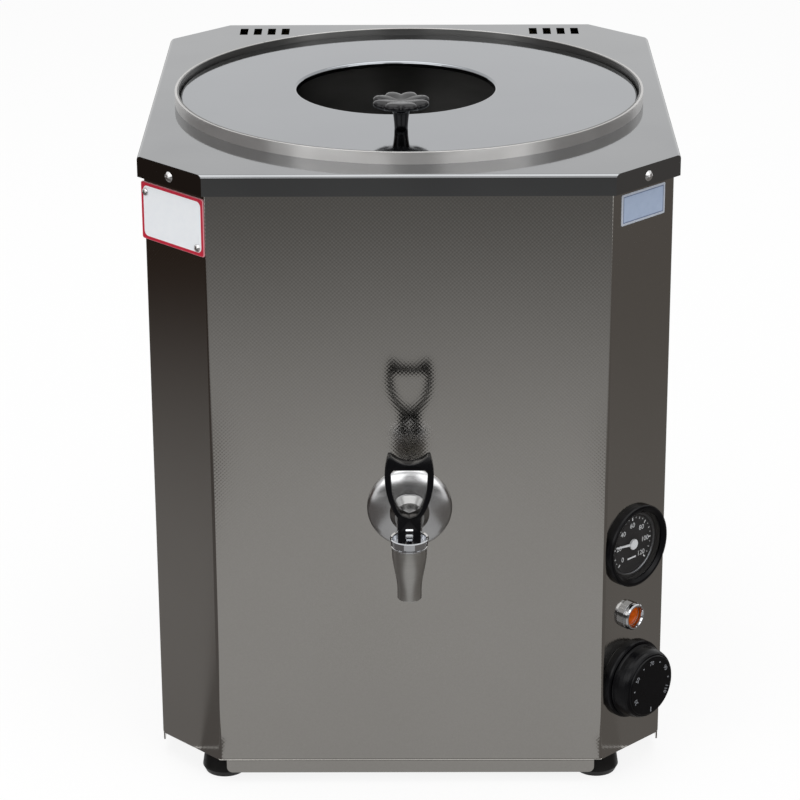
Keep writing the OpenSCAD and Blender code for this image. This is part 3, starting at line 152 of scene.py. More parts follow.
linen_pitch = 0.0026
linen_steel, spot = finish("linen_steel", Metallic=1.0)
face = source(linen_steel.node_tree, "ShaderNodeNewGeometry", "True Normal")
level = face.vector("CROSS_PRODUCT", (0.0, 0.0, -1.0))
run = level.vector("DOT_PRODUCT", spot, output="Value")
waves = 2 * np.pi / linen_pitch
linen = (run * waves).sine() * (spot.part("Z") * waves).sine()
cloud = spot.noise(9.0, 3.0)
grain = spot.noise(900.0, 1.0)
drive(
    linen_steel,
    Base_Color=(cloud * 0.5 + grain * 0.5).tint((0.37, 0.354, 0.33), (0.45, 0.436, 0.415)),
    Roughness=cloud * 0.04 + grain * 0.03 + 0.06,
    Normal=(linen + grain * 0.15).bump(0.06, 0.0001),
)
dress(linen_steel, "front_casing", "rear_panel", "base_plate")

# Screws, nuts, the clamp and the tank stand are zinc plated steel, dulled a little by handling. They
# hold the sheets, the tank and the fittings together.


def mottled(name, dark, light, noise, rough, grain=None, **fixed):
    """A finish that varies with one noise (scale, detail): its colour from dark to light, and its
    roughness (least, spread). A fine grain (scale, strength, depth) may raise the surface."""
    material, spot = finish(name, **fixed)
    mottle = spot.noise(*noise)
    least, spread = rough
    drive(material, Base_Color=mottle.tint(dark, light), Roughness=mottle * spread + least)
    if grain:
        scale, strength, depth = grain
        drive(material, Normal=spot.noise(scale, 1.0).bump(strength, depth))
    return material


zinc = mottled(
    "zinc_plate", (0.36, 0.36, 0.36), (0.58, 0.58, 0.57), noise=(400.0, 3.0), rough=(0.28, 0.2), Metallic=1.0,
)
dress(
    zinc, "foot_screws", "foot_nuts", "base_screws", "rear_screws", "tank_stand", "stand_screws",
    "gauge_clamp", "lamp_nut", "thermostat_screws", "thermostat_shaft", "lid_knob_screw",
)

# The feet are moulded black rubber cups, each held by one sunk screw. The tap's gasket and washer and
# the element's seals are of the same rubber, pressed between metal faces.

foot_rubber = mottled(
    "foot_rubber", (0.002, 0.002, 0.002), (0.008, 0.0075, 0.007), noise=(180.0, 4.0), rough=(0.4, 0.2),
    grain=(2200.0, 0.15, 0.0001), Specular_IOR_Level=0.2,
)
dress(
    foot_rubber, "foot_front_left", "foot_front_right", "foot_rear_left", "foot_rear_right",
    "tap_gasket", "tap_seat_washer", "element_seals",
)

# The cover is folded from bright stainless sheet, close to a mirror, with faint rolling marks that run
# from side to side. Its skirt slips over the casing and is riveted at the corners.


def bright_sheet(name, dark, light):
    """A bright steel: rolling marks stretched along x, and wiping marks over them."""
    steel, spot = finish(name, Metallic=1.0)
    rolled = spot.stretched((30.0, 1800.0, 1800.0)).noise(1.0, 2.0)
    wiped = spot.noise(14.0, 3.0)
    drive(
        steel,
        Base_Color=wiped.tint(dark, light),
        Roughness=rolled * 0.03 + wiped * 0.03 + 0.035,
        Normal=rolled.bump(0.02, 0.00004),
    )
    return steel


dress(bright_sheet("cover_steel", (0.22, 0.226, 0.234), (0.28, 0.286, 0.292)), "top_cover")

# The rivets on the cover's corners are drawn from a light alloy, and are a little duller than the
# sheet. They are pulled up from outside.

rivet_alloy = mottled(
    "rivet_alloy", (0.6, 0.6, 0.6), (0.8, 0.8, 0.8), noise=(700.0, 2.0), rough=(0.2, 0.15), Metallic=1.0,
)
dress(rivet_alloy, "cover_rivets")

# Two plates lie on the front corners: a white enamelled one with a red border, held by two rivets, on
# the left, and a pale foil sticker on the right. A face's axes run along it, up, and out of it.

slant = 2 ** -0.5
left_face = np.array([(slant, -slant, 0), (0, 0, 1), (-slant, -slant, 0)])
left_corner = np.array([-0.15015, -0.1255, 0.0])
right_face = np.array([(slant, slant, 0), (0, 0, 1), (slant, -slant, 0)])
right_corner = np.array([0.15015, -0.1255, 0.0])
uv_per_metre = 100


def net(rows, cols, loop=False):
    """Quads between neighbouring rows of a grid whose columns run round and close. With loop, the
    last row joins the first."""
    row, col = np.mgrid[0:rows if loop else rows - 1, 0:cols]
    above = (row + 1) % rows * cols
    after = (col + 1) % cols
    quads = [row * cols + col, row * cols + after, above + after, above + col]
    return np.stack(quads, -1).reshape(-1, 4)


def end_rings(rows, cols):
    """The faces that close the first and the last row of a grid whose columns run round."""
    ring = np.arange(cols)
    return [ring[::-1], ring + (rows - 1) * cols]


def add_mesh(name, points, faces, material):
    """A mesh of points and faces with one material, in the scene."""
    mesh = bpy.data.meshes.new(name)
    mesh.from_pydata(points, [], faces)
    mesh.materials.append(material)
    obj = bpy.data.objects.new(name, mesh)
    bpy.context.scene.collection.objects.link(obj)
    return obj


def skin(name, points, faces, material, body, smooth=True, ends=()):
    """A mesh piece that rides on a body: its points, its quads and the rings that close it."""
    all_faces = faces.tolist() + [list(ring) for ring in ends]
    obj = add_mesh(name, points.reshape(-1, 3).tolist(), all_faces, material)
    obj.data.polygons.foreach_set("use_smooth", np.full(len(all_faces), smooth))
    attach(obj, body)
    return obj


def card_plate(name, wide, high, corner_r, grow, thick, place, axes, material):
    """A sheet with round corners, of rings set in by d that run from the back edge over the front:
    u = sign(cos t) (wide / 2 - d - r) + r cos t, and v likewise with sin t and high, where the
    corner's radius r changes by grow times d. The UV map holds d for the border's colour."""
    steps = 64
    least_r = 0.0002
    turn = np.linspace(0, 2 * np.pi, steps, endpoint=False) + np.pi / steps
    inset = np.array([0.0, 0.0, 0.0002, 0.0006, 0.0008, 0.0022, 0.0024, 0.0042])[:, None]
    lift = thick * np.array([0.0, 0.75, 1.0, 1.0, 1.0, 1.0, 1.0, 1.0])[:, None]
    round_r = np.maximum(corner_r + grow * inset, least_r)
    u = np.sign(np.cos(turn)) * (wide / 2 - inset - round_r) + round_r * np.cos(turn)
    v = np.sign(np.sin(turn)) * (high / 2 - inset - round_r) + round_r * np.sin(turn)
    points = np.stack([u, v, np.broadcast_to(lift, u.shape)], -1) @ axes + place
    rows = len(inset)
    obj = skin(name, points, net(rows, steps), material, "casing", False,
               end_rings(rows, steps))
    depth = np.broadcast_to(inset, u.shape).ravel()
    corners = np.zeros(len(obj.data.loops), np.int64)
    obj.data.loops.foreach_get("vertex_index", corners)
    chart = np.stack([depth[corners] * uv_per_metre, np.zeros(len(corners))], -1)
    obj.data.uv_layers.new(name="inset").data.foreach_set("uv", chart.ravel())


def border_paint(name, margin_and_edge_highlight, line, field, near, far):
    """Three colours by the distance from the edge in metres: a margin, and a printed line and field.
    On the enamel plate the margin is a painted highlight along the sheet's edge.
    """
    feather = 0.0001
    material, spot = finish(name)
    depth = spot.make("ShaderNodeUVMap", {}, {"uv_map": "inset"}).part("X") * (1 / uv_per_metre)
    worn = spot.noise(240.0, 4.0)
    paint = worn.tint(*margin_and_edge_highlight)
    for edge, colours in ((near, line), (far, field)):
        paint = depth.rise(edge - feather, edge + feather).blend(paint, worn.tint(*colours))
    drive(material, Base_Color=paint, Roughness=worn * 0.1 + 0.3)
    return material


enamel = border_paint(
    "enamel_plate",
    # The pale pink margin is a painted highlight along the plate's edge.
    margin_and_edge_highlight=((0.6, 0.2, 0.24), (0.75, 0.35, 0.38)),
    line=((0.5, 0.008, 0.03), (0.62, 0.016, 0.05)),
    field=((0.89, 0.92, 0.96), (0.96, 0.98, 1.0)),
    near=0.0003, far=0.0023,
)
plate_middle = left_corner - 0.0016 * left_face[0] + (0, 0, 0.3956)
card_plate("corner_plate", wide=0.0602, high=0.0386, corner_r=0.0015, grow=0.9, thick=0.0008,
           place=plate_middle, axes=left_face, material=enamel)
foil = border_paint(
    "foil_sticker",
    margin_and_edge_highlight=((0.42, 0.46, 0.53), (0.5, 0.54, 0.61)),
    line=((0.12, 0.16, 0.26), (0.18, 0.22, 0.34)),
    field=((0.34, 0.42, 0.57), (0.41, 0.49, 0.64)),
    near=0.0015, far=0.0022,
)
sticker_middle = right_corner - 0.0003 * right_face[0] + (0, 0, 0.40495)
card_plate("corner_sticker", wide=0.042, high=0.0208, corner_r=0.001, grow=-1.0, thick=0.0003,
           place=sticker_middle, axes=right_face, material=foil)


def lathe(profile, place, axes, steps):
    """Points (r cos t, r sin t, w) of a turned piece, for each (r, w) of its profile, on a face's axes."""
    turn = np.linspace(0, 2 * np.pi, steps, endpoint=False)
    r, w = np.array(profile, float).T[:, :, None]
    ring = np.stack([r * np.cos(turn), r * np.sin(turn), np.broadcast_to(w, (len(r), steps))], -1)
    return ring @ axes + place


rivet_head = [(0.0026, 0.0008), (0.0026, 0.0011), (0.0023, 0.0017), (0.0015, 0.0022), (0.0004, 0.0024)]
rivet_steps = 32
for side, along, up in (("upper", -0.0272, 0.4083), ("lower", 0.0224, 0.3815)):
    rivet_place = left_corner + along * left_face[0] + (0, 0, up)
    skin("plate_rivet_" + side, lathe(rivet_head, rivet_place, left_face, rivet_steps),
         net(len(rivet_head), rivet_steps), rivet_alloy, "casing", True,
         end_rings(len(rivet_head), rivet_steps))

# The tank is a drawn stainless pot with a welded ledge for the lid, a socket for the tap and pockets
# for the bulbs. It is brushed round and round. Its steel is painted very dark: painted shade for the
# inside of the tank, seen through the lid's hole.

pot_steel_painted_shade, spot = finish("pot_steel_painted_shade", Metallic=1.0, Anisotropic=0.9, Anisotropic_Rotation=0.25)
scale = spot.stretched((20.0, 20.0, 60.0)).noise(1.0, 4.0)
drive(
    pot_steel_painted_shade,
    # The very dark base colour is painted shade, not the colour of the steel.
    Base_Color=scale.tint((0.08, 0.079, 0.076), (0.14, 0.138, 0.134)),
    Roughness=scale * 0.1 + 0.26,
)
dress(pot_steel_painted_shade, "water_tank", "lid_ledge", "sensor_pockets", "tap_socket")

# The rim is a strip of stainless bent to a ring round the top of the tank. It is brushed along its
# length, so lights draw out into upright streaks.

brushed_band, spot = finish("brushed_band", Metallic=1.0, Anisotropic=0.95, Anisotropic_Rotation=0.25)
strokes = spot.stretched((60.0, 60.0, 4200.0)).noise(1.0, 3.0)
stains = spot.noise(30.0, 4.0)
drive(
    brushed_band,
    Base_Color=stains.tint((0.42, 0.41, 0.4), (0.64, 0.63, 0.62)),
    Roughness=strokes * 0.1 + stains * 0.08 + 0.24,
    Normal=strokes.bump(0.08, 0.00006),
)
dress(brushed_band, "rim_band")

# The lid is a shallow pan pressed from the same bright sheet as the cover, and lies loose on its
# ledge. Its edge and the edge of the teapot hole, off its middle, are turned down over a small bend.

lid_steel = bright_sheet("lid_steel", (0.265, 0.276, 0.292), (0.295, 0.307, 0.322))
lid_top = 0.4361
lid_middle = np.array([0.0, 0.03265, lid_top])
hole_middle = np.array([-0.009, 0.04525, lid_top])
lid_r, hole_r, bend_r, lid_sheet = 0.1564, 0.068, 0.002, 0.001
lid_lip, hole_lip = 0.006, 0.004
lid_steps = 192


def edge_rows(radius, lip, side):
    """Rows (r, z) of a turned-down edge, outside and then inside, from under its lip round the bend
    to the flat. The bend is a quarter circle, r = b - q cos t and z = q sin t - b, where q is b
    outside and b less the sheet inside. Rows close to each end of a straight run keep it shading
    flat. The lip is on the side of smaller r with side 1, and of larger r with side -1."""
    hold = 0.0002
    t = np.linspace(0, np.pi / 2, 9)
    rows = []
    for set_in in (0.0, lid_sheet):
        q = bend_r - set_in
        wall = [(set_in, -lip), (set_in, -lip + hold), (set_in, -bend_r - hold)]
        bend = np.stack([bend_r - q * np.cos(t), q * np.sin(t) - bend_r], -1)
        flat = [(bend_r + 2 * hold, -set_in)]
        rows.append(np.concatenate([wall, bend, flat]) * (side, 1.0) + (radius, 0.0))
    return rows


hole_top, hole_back = edge_rows(hole_r, hole_lip, 1.0)
rim_top, rim_back = edge_rows(lid_r, lid_lip, -1.0)
lid_points = np.concatenate([
    lathe(rows, middle, np.eye(3), lid_steps)
    for rows, middle in (
        (hole_top, hole_middle), (rim_top[::-1], lid_middle),
        (rim_back, lid_middle), (hole_back[::-1], hole_middle),
    )
])
lid_faces = net(len(lid_points), lid_steps, True)[:, ::-1]
lid_pan = skin("lid_pan", lid_points, lid_faces, lid_steel, "lid")
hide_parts("lid_plate")

# The lid's knob is one black moulding: a stem that widens upwards into a cap of eight petals. It is
# screwed on from under the lid.

gloss_black = mottled(
    "gloss_black", (0.0015, 0.0015, 0.002), (0.004, 0.004, 0.005), noise=(120.0, 3.0), rough=(0.12, 0.08),
    grain=(1500.0, 0.03, 0.00005), Specular_IOR_Level=0.26,
)
petals, petal_at, petal_r, valley_drop = 8, 0.0132, 0.0063, 0.01
knob_foot = np.array([-0.005, -0.05865, lid_top])
knob_steps = 128


def petal_knob(rows):
    """Points of rows (r, z, share): the radius is drawn in by the petals' outline in that share, and
    the valleys drop with it. The outline is a ring of circles of radius p about points at d,
    d cos a + sqrt(p p - d d sin a sin a) within each petal."""
    d, p = petal_at, petal_r
    turn = np.linspace(0, 2 * np.pi, knob_steps, endpoint=False)
    within = turn % (2 * np.pi / petals) - np.pi / petals
    outline = (d * np.cos(within) + np.sqrt(p * p - (d * np.sin(within)) ** 2)) / (d + p)
    r, z, share = np.array(rows, float).T[:, :, None]
    r = r * (1 + share * (outline - 1))
    z = z - share * valley_drop * (1 - outline) * r / (d + p)
    return np.stack([r * np.cos(turn), r * np.sin(turn), z], -1)


knob_rows = [
    (0.0044, 0.0, 0), (0.0046, 0.004, 0), (0.0050, 0.008, 0), (0.0054, 0.0108, 0), (0.0059, 0.0126, 0),
    (0.0075, 0.0138, 0.05), (0.0110, 0.0149, 0.35), (0.0155, 0.0159, 0.8), (0.0184, 0.0166, 1.0),
    (0.0193, 0.0173, 1.0), (0.0195, 0.0184, 1.0), (0.0191, 0.0195, 1.0), (0.0178, 0.0204, 1.0),
    (0.0152, 0.0208, 0.9), (0.0110, 0.0204, 0.6), (0.0065, 0.0196, 0.25), (0.0020, 0.0192, 0.0),
]
lid_knob = skin("lid_knob_moulding", petal_knob(knob_rows) + knob_foot, net(len(knob_rows), knob_steps),
                gloss_black, "lid", True, end_rings(len(knob_rows), knob_steps))
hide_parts("lid_knob")

# The tap's bonnet, stem and pin and the lamp's bezel are turned brass, polished and chromed. The
# bonnet screws on the body, and the pin carries the handle in the eye of the stem.

chrome = mottled(
    "tap_chrome", (0.5, 0.51, 0.53), (0.6, 0.61, 0.63), noise=(60.0, 3.0), rough=(0.06, 0.05), Metallic=1.0,
)
dress(chrome, "tap_bonnet", "tap_stem", "handle_pin", "lamp_bezel")

# The rosette is a dome spun from thin sheet and chromed. It slides on the tap's barrel, up against
# the panel.

soft_chrome = mottled(
    "soft_chrome", (0.42, 0.42, 0.425), (0.54, 0.54, 0.545), noise=(90.0, 3.0), rough=(0.2, 0.06),
    Metallic=1.0,
)
rosette_r, rosette_h, rosette_hole, rosette_wall = 0.028, 0.0085, 0.0106, 0.0012
rosette_place = (0, -0.14635, 0.2035)
rosette_steps = 96
front_face = np.array([(1, 0, 0), (0, 0, 1), (0, -1, 0)])


def dome(r, h):
    """Points (r cos t, h sin t) of a quarter ellipse from its edge to the hole."""
    t = np.linspace(0, np.arccos(rosette_hole / r), 24)
    return np.stack([r * np.cos(t), h * np.sin(t)], -1)


outer = dome(rosette_r, rosette_h)
inner = dome(rosette_r - rosette_wall, rosette_h - rosette_wall)
rosette_profile = np.concatenate([outer, inner[::-1]])
rosette = skin("rosette_dome", lathe(rosette_profile, rosette_place, front_face, rosette_steps),
               net(len(rosette_profile), rosette_steps, True), soft_chrome, "casing")
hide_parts("tap_rosette")

# The tap's body is turned brass, screwed into the tank's socket. It is polished on its barrel, and
# its spout is satin with fine turning marks. The barrel's colour is painted darker than the spout's:
# painted shade.

barrel_front, barrel_back = -0.2275, -0.2235
satin_nickel, spot = finish("satin_nickel", Metallic=1.0)
turned = spot.stretched((200.0, 200.0, 3000.0)).noise(1.0, 2.0)
barrel_polish_and_shade = spot.part("Y").rise(barrel_front, barrel_back)
# On the barrel the colour is painted dark as painted shade; its lower roughness is the polish.
shade = (turned * 0.5 + 0.5) * (1.0 - barrel_polish_and_shade) + turned * barrel_polish_and_shade * 0.2
drive(
    satin_nickel,
    Base_Color=shade.tint((0.24, 0.24, 0.24), (0.51, 0.5, 0.475)),
    Roughness=(turned * 0.08 + 0.3) * (1.0 - barrel_polish_and_shade * 0.4),
    Normal=turned.bump(0.04, 0.00004),
)
dress(satin_nickel, "tap_body")

# The closing spring is wound from bright wire. It stands under the bonnet round the stem. The real
# spring shortens as the stem rises; this mesh keeps one length.

coil_r, coil_turns, wire_r = 0.0037, 6, 0.00045
coil_foot, coil_head, tap_axis = 0.20151, 0.21293, np.array([0.0, -0.23735, 0.0])
wire_rows, wire_cols = 145, 10


def coil():
    """Points of a wire along a helix: ((R + q cos s) cos t, (R + q cos s) sin t, z(t) + q sin s), with
    the wire's radius q, the coil's radius R and a height z that rises evenly with t."""
    share = np.linspace(0, 1, wire_rows)[:, None]
    t = 2 * np.pi * coil_turns * share
    s = np.linspace(0, 2 * np.pi, wire_cols, endpoint=False)
    r = coil_r + wire_r * np.cos(s)
    z = coil_foot + (coil_head - coil_foot) * share + wire_r * np.sin(s)
    return np.stack([r * np.cos(t), r * np.sin(t), z], -1) + tap_axis


spring = skin("spring_coil", coil(), net(wire_rows, wire_cols)[:, ::-1], chrome, "casing", True,
              [ring[::-1] for ring in end_rings(wire_rows, wire_cols)])
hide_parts("tap_spring")
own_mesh(spring)

# The tap's handle is moulded in the same black as the lid's knob, with rounded edges. It turns on
# the pin, and its foot rolls in the bonnet's cup.

weld, flat_angle, round_angle, round_width = 1e-6, np.radians(1.0), np.radians(35), 0.0009
handle_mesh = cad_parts["tap_handle"].data.copy()
handle_mesh.name = "handle_moulding"
solid = bmesh.new()
solid.from_mesh(handle_mesh)
bmesh.ops.remove_doubles(solid, verts=solid.verts, dist=weld)
bmesh.ops.dissolve_limit(solid, angle_limit=flat_angle, verts=solid.verts, edges=solid.edges)
solid.to_mesh(handle_mesh)
solid.free()
handle_mesh.materials.clear()
handle_mesh.materials.append(gloss_black)
handle_mesh.polygons.foreach_set("use_smooth", np.full(len(handle_mesh.polygons), True))
handle = bpy.data.objects.new("handle_moulding", handle_mesh)
bpy.context.scene.collection.objects.link(handle)
soften = handle.modifiers.new("soften", "BEVEL")
soften.width = round_width
soften.segments = 3
soften.limit_method = "ANGLE"
soften.angle_limit = round_angle
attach(handle, "lever")
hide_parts("tap_handle")

# The thermostat's knob and ring and the thermometer's bezel are black mouldings with a finer grain.
# The knob is pushed on its shaft, and the ring and the bezel sit on the panel.

knob_black = mottled(
    "knob_black", (0.001, 0.001, 0.0015), (0.003, 0.003, 0.004), noise=(160.0, 3.0), rough=(0.24, 0.1),
    grain=(1800.0, 0.05, 0.00005), Specular_IOR_Level=0.15,
)
dress(knob_black, "thermostat_knob", "gauge_bezel", "thermostat_ring")

# The thermometer's case and the thermostat's body behind the panel, and the cable gland with its nut,
# are matt black mouldings with a pitted face.

black_matte, spot = finish("black_housing", Specular_IOR_Level=0.4)
pits = spot.noise(1300.0, 2.0)
drive(
    black_matte,
    Base_Color=pits.tint((0.008, 0.008, 0.008), (0.02, 0.02, 0.02)),
    Roughness=pits * 0.15 + 0.45,
    Normal=pits.bump(0.1, 0.0001),
)
dress(black_matte, "gauge_case", "cable_gland", "gland_nut", "thermostat_body")

# The dial is a black plate, printed in white with strokes, figures from 0 to 120 and a dash, inside a
# thin grey ring. A white needle turns over it on a broad hub.

dial_black = mottled(
    "dial_print", (0.004, 0.004, 0.005), (0.012, 0.012, 0.014), noise=(900.0, 2.0), rough=(0.4, 0.1),
    Specular_IOR_Level=0.4,
)
dress(dial_black, "gauge_dial")
white_print = mottled(
    "white_print", (0.62, 0.64, 0.66), (0.8, 0.81, 0.82), noise=(1500.0, 2.0), rough=(0.4, 0.1),
)
dress(white_print, "gauge_needle")


def lettering(text, size):
    """Flat outlines of some figures, centred on the origin: their points and their faces."""
    curve = bpy.data.curves.new("figures", "FONT")
    curve.body = text
    curve.size = size
    curve.align_x = "CENTER"
    curve.align_y = "CENTER"
    curve.resolution_u = 3
    holder = bpy.data.objects.new("figures", curve)
    mesh = bpy.data.meshes.new_from_object(holder)
    spots = np.zeros(len(mesh.vertices) * 3)
    mesh.vertices.foreach_get("co", spots)
    faces = [list(face.vertices) for face in mesh.polygons]
    bpy.data.objects.remove(holder)
    bpy.data.curves.remove(curve)
    bpy.data.meshes.remove(mesh)
    return spots.reshape(-1, 3), faces


def heading(angle):
    """The unit vector (cos a, sin a, 0), in degrees from u towards v."""
    a = np.radians(angle)
    return np.array([np.cos(a), np.sin(a), 0.0])


def bar(angle, near, far, wide):
    """A flat stroke along a radius: its points and its face."""
    along = heading(angle)
    across = np.array([-along[1], along[0], 0.0]) * wide / 2
    corners = [near * along - across, far * along - across, far * along + across, near * along + across]
    return np.array(corners), [[0, 1, 2, 3]]


def printing(name, marks, place, axes, material, body):
    """One flat mesh of many marks, each with its own points and faces on a face's u and v."""
    points, faces = [], []
    for spots, outlines in marks:
        start = sum(len(block) for block in points)
        points.append(spots)
        faces += [[start + index for index in outline] for outline in outlines]
    obj = add_mesh(name, (np.concatenate(points) @ axes + place).tolist(), faces, material)
    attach(obj, body)


gauge_middle = right_corner + (0, 0, 0.167)
dial_last, dial_start, dial_sweep, dial_print = 120, 225, 270, 0.00235
tick_step, tick_end, figure_at, figure_size = 5, 0.0188, 0.013, 0.005
dash_half, dash_low, dash_high = 0.0042, -0.0108, -0.0096
dial_marks = []
for reading in range(0, dial_last + 1, tick_step):
    angle = dial_start - dial_sweep * reading / dial_last
    if reading % 20 == 0:
        dial_marks.append(bar(angle, near=0.0166, far=tick_end, wide=0.0009))
        spots, outlines = lettering(str(reading), figure_size)
        dial_marks.append((spots + figure_at * heading(angle), outlines))
    else:
        tick_start = 0.0174 if reading % 10 == 0 else 0.0179
        dial_marks.append(bar(angle, near=tick_start, far=tick_end, wide=0.0005))
dash = np.array([
    (-dash_half, dash_low, 0), (dash_half, dash_low, 0),
    (dash_half, dash_high, 0), (-dash_half, dash_high, 0),
])
dial_marks.append((dash, [[0, 1, 2, 3]]))
printing("dial_marks", dial_marks, gauge_middle - dial_print * right_face[2], right_face, white_print,
         "casing")

ring_grey = mottled(
    "ring_grey", (0.1, 0.104, 0.112), (0.2, 0.206, 0.216), noise=(800.0, 2.0), rough=(0.3, 0.1), Metallic=1.0,
)
ring_profile = [(0.0222, -0.0023), (0.0222, -0.0015), (0.0216, -0.0013), (0.0206, -0.0018), (0.0206, -0.0023)]
ring_steps = 96
skin("dial_ring", lathe(ring_profile, gauge_middle, right_face, ring_steps),
     net(len(ring_profile), ring_steps, True), ring_grey, "casing")

# The thermometer's glass is a flat clear disc, held in the bezel. It mirrors more the lower it is
# looked at.


def bare(name):
    """A material without a shader, and its tree."""
    material = bpy.data.materials.new(name)
    material.use_nodes = True
    tree = material.node_tree
    tree.nodes.remove(tree.nodes["Principled BSDF"])
    return material, tree


def show(shader):
    """Links a shader to its material's surface."""
    shader.tree.links.new(shader.socket, shader.tree.nodes["Material Output"].inputs["Surface"])


dial_glass, tree = bare("dial_glass")
clear = source(tree, "ShaderNodeBsdfTransparent")
gloss = clear.make("ShaderNodeBsdfGlossy", {"Roughness": 0.02})
front_side = 1.0 - source(tree, "ShaderNodeNewGeometry", "Backfacing")
mirror = source(tree, "ShaderNodeFresnel") * front_side
show(clear.make("ShaderNodeMixShader", {0: mirror, 1: clear, 2: gloss}))
dress(dial_glass, "gauge_glass")

# The thermostat's knob has figures and dots printed in grey round its face, and a stroke for off.
# The print is thin, a little rubbed, and turns with the knob.

grey_print = mottled(
    "grey_print", (0.2, 0.21, 0.23), (0.36, 0.37, 0.4), noise=(1200.0, 3.0), rough=(0.45, 0.2),
)
mark_count, mark_start, mark_sweep, mark_r = 9, 205, 230, 0.0166
first_figure, figure_step, knob_figure_size = 30, 10, 0.0042
knob_face = right_corner + (0, 0, 0.0685) + 0.01804 * right_face[2]
knob_marks = [bar(270, near=0.0158, far=0.0192, wide=0.0008)]
for step in range(mark_count):
    angle = mark_start - mark_sweep * step / (mark_count - 1)
    if step % 2:
        knob_marks.append(bar(angle, near=mark_r, far=0.0176, wide=0.001))
    else:
        spots, outlines = lettering(str(first_figure + figure_step * step), knob_figure_size)
        a = np.radians(angle - 90)
        upright = np.array([(np.cos(a), np.sin(a), 0), (-np.sin(a), np.cos(a), 0), (0, 0, 1)])
        knob_marks.append((spots @ upright + mark_r * heading(angle), outlines))
printing("knob_marks", knob_marks, knob_face, right_face, grey_print, "heat_knob")

# The pilot lamp's lens is moulded in clear amber plastic, and pressed into the bezel. It glows a
# little from the lamp behind it.

amber, spot = finish("amber_lens", Specular_IOR_Level=0.12, Emission_Strength=0.16)
glow = spot.noise(420.0, 3.0)
drive(
    amber,
    Base_Color=glow.tint((0.16, 0.016, 0.0003), (0.5, 0.08, 0.001)),
    Emission_Color=glow.tint((0.4, 0.04, 0.0), (1.0, 0.22, 0.005)),
    Roughness=glow * 0.1 + 0.12,
)
dress(amber, "lamp_lens")

# The lamp's body and the terminal block are white mouldings, yellowed a little by heat. The body is
# held by its nut, and the block by its screws.

white_moulding = mottled(
    "white_moulding", (0.6, 0.58, 0.5), (0.75, 0.74, 0.7), noise=(60.0, 3.0), rough=(0.4, 0.1),
)
dress(white_moulding, "lamp_body", "terminal_block")

# Inside the casing are the element in its oxidised sheath, its brass bushes and nuts, the drawn copper
# capillaries with their bulbs, and wires in silicone. They are screwed, pushed or clamped in place.

sheath = mottled(
    "element_sheath", (0.10, 0.09, 0.08), (0.26, 0.24, 0.22), noise=(240.0, 5.0), rough=(0.35, 0.25),
    Metallic=1.0,
)
dress(sheath, "heating_element")
brass = mottled(
    "turned_brass", (0.45, 0.3, 0.1), (0.62, 0.45, 0.18), noise=(500.0, 2.0), rough=(0.25, 0.15),
    Metallic=1.0,
)
dress(brass, "element_bushes", "element_nuts", "earth_stud", "gauge_clamp_nuts")
copper = mottled(
    "drawn_copper", (0.3, 0.13, 0.07), (0.6, 0.3, 0.18), noise=(120.0, 4.0), rough=(0.25, 0.2), Metallic=1.0,
)
dress(copper, "gauge_sensor", "thermostat_sensor")
silicone = mottled(
    "wire_silicone", (0.3, 0.02, 0.015), (0.45, 0.04, 0.03), noise=(300.0, 3.0), rough=(0.5, 0.2),
)
dress(silicone, "wiring")

# The insulation is a blanket of mineral wool, wrapped round the tank. Its fibres lie round and
# round, and it is held by the stand.

wool, spot = finish("mineral_wool", Roughness=0.95)
fibre = spot.stretched((120.0, 120.0, 900.0)).noise(1.0, 5.0)
drive(wool, Base_Color=fibre.tint((0.42, 0.36, 0.16), (0.66, 0.6, 0.36)), Normal=fibre.bump(0.6, 0.001))
dress(wool, "tank_insulation")

# The stage: a pale floor, soft lights, and dark cards that only reflections see, as a studio uses
# for bright metal. The camera stands where the photographer stood.

scene = bpy.context.scene


def seen_directly(tree):
    """1 on rays from the camera, off a mirror or through glass, and 0 on rays that carry light."""
    path = tree.nodes.new("ShaderNodeLightPath")
    camera_ray, glossy_ray, clear_ray = (
        Wire(tree, path.outputs[name]) for name in ("Is Camera Ray", "Is Glossy Ray", "Is Transmission Ray")
    )
    seen = camera_ray.math("MAXIMUM", camera_ray, glossy_ray)
    return seen.math("MAXIMUM", seen, clear_ray)


def level_sheet(x, y, z):
    """The corners of a level oblong between two x and two y."""
    return [(x[0], y[0], z), (x[1], y[0], z), (x[1], y[1], z), (x[0], y[1], z)]


floor_reach, floor_white, floor_share = 9.0, 1.05, 0.82
paper, _ = finish("floor_paper", Base_Color=(0.82, 0.82, 0.82, 1.0), Roughness=0.9)
lit = Wire(paper.node_tree, paper.node_tree.nodes["Principled BSDF"].outputs[0])
seen = seen_directly(paper.node_tree)
white = seen.make("ShaderNodeEmission", {"Color": (1, 1, 1, 1), "Strength": floor_white})
show(seen.make("ShaderNodeMixShader", {0: seen * floor_share, 1: lit, 2: white}))
floor_span = (-floor_reach, floor_reach)
floor = add_mesh("floor", level_sheet(floor_span, floor_span, 0), [(0, 1, 2, 3)], paper)


def card(name, corners, near, far, dark, thin=0.0, across="X", half=9.0):
    """A flat dark card that only reflections see. Its darkness grows from thin to full between two
    distances from the urn, in metres, and fades out sideways past half its width."""
    fade = 0.3
    urn_middle = (0.0, 0.04, 0.0)
    material, tree = bare(name)
    place = source(tree, "ShaderNodeTexCoord", "Object")
    away = place.vector("SUBTRACT", urn_middle).vector("LENGTH", (0, 0, 0), output="Value")
    thick = away.rise(near, far) * (1.0 - thin) + thin
    off = place.part(across)
    thick = thick * (1.0 - off.math("ABSOLUTE", off).rise(half, half + fade))
    shade = place.make("ShaderNodeEmission", {"Color": (*dark, 1.0), "Strength": 1.0})
    clear = place.make("ShaderNodeBsdfTransparent", {})
    show(place.make("ShaderNodeMixShader", {0: thick, 1: clear, 2: shade}))
    obj = add_mesh(name, corners, [(0, 1, 2, 3)], material)
    obj.visible_camera = False
    obj.visible_diffuse = False
    obj.visible_shadow = False


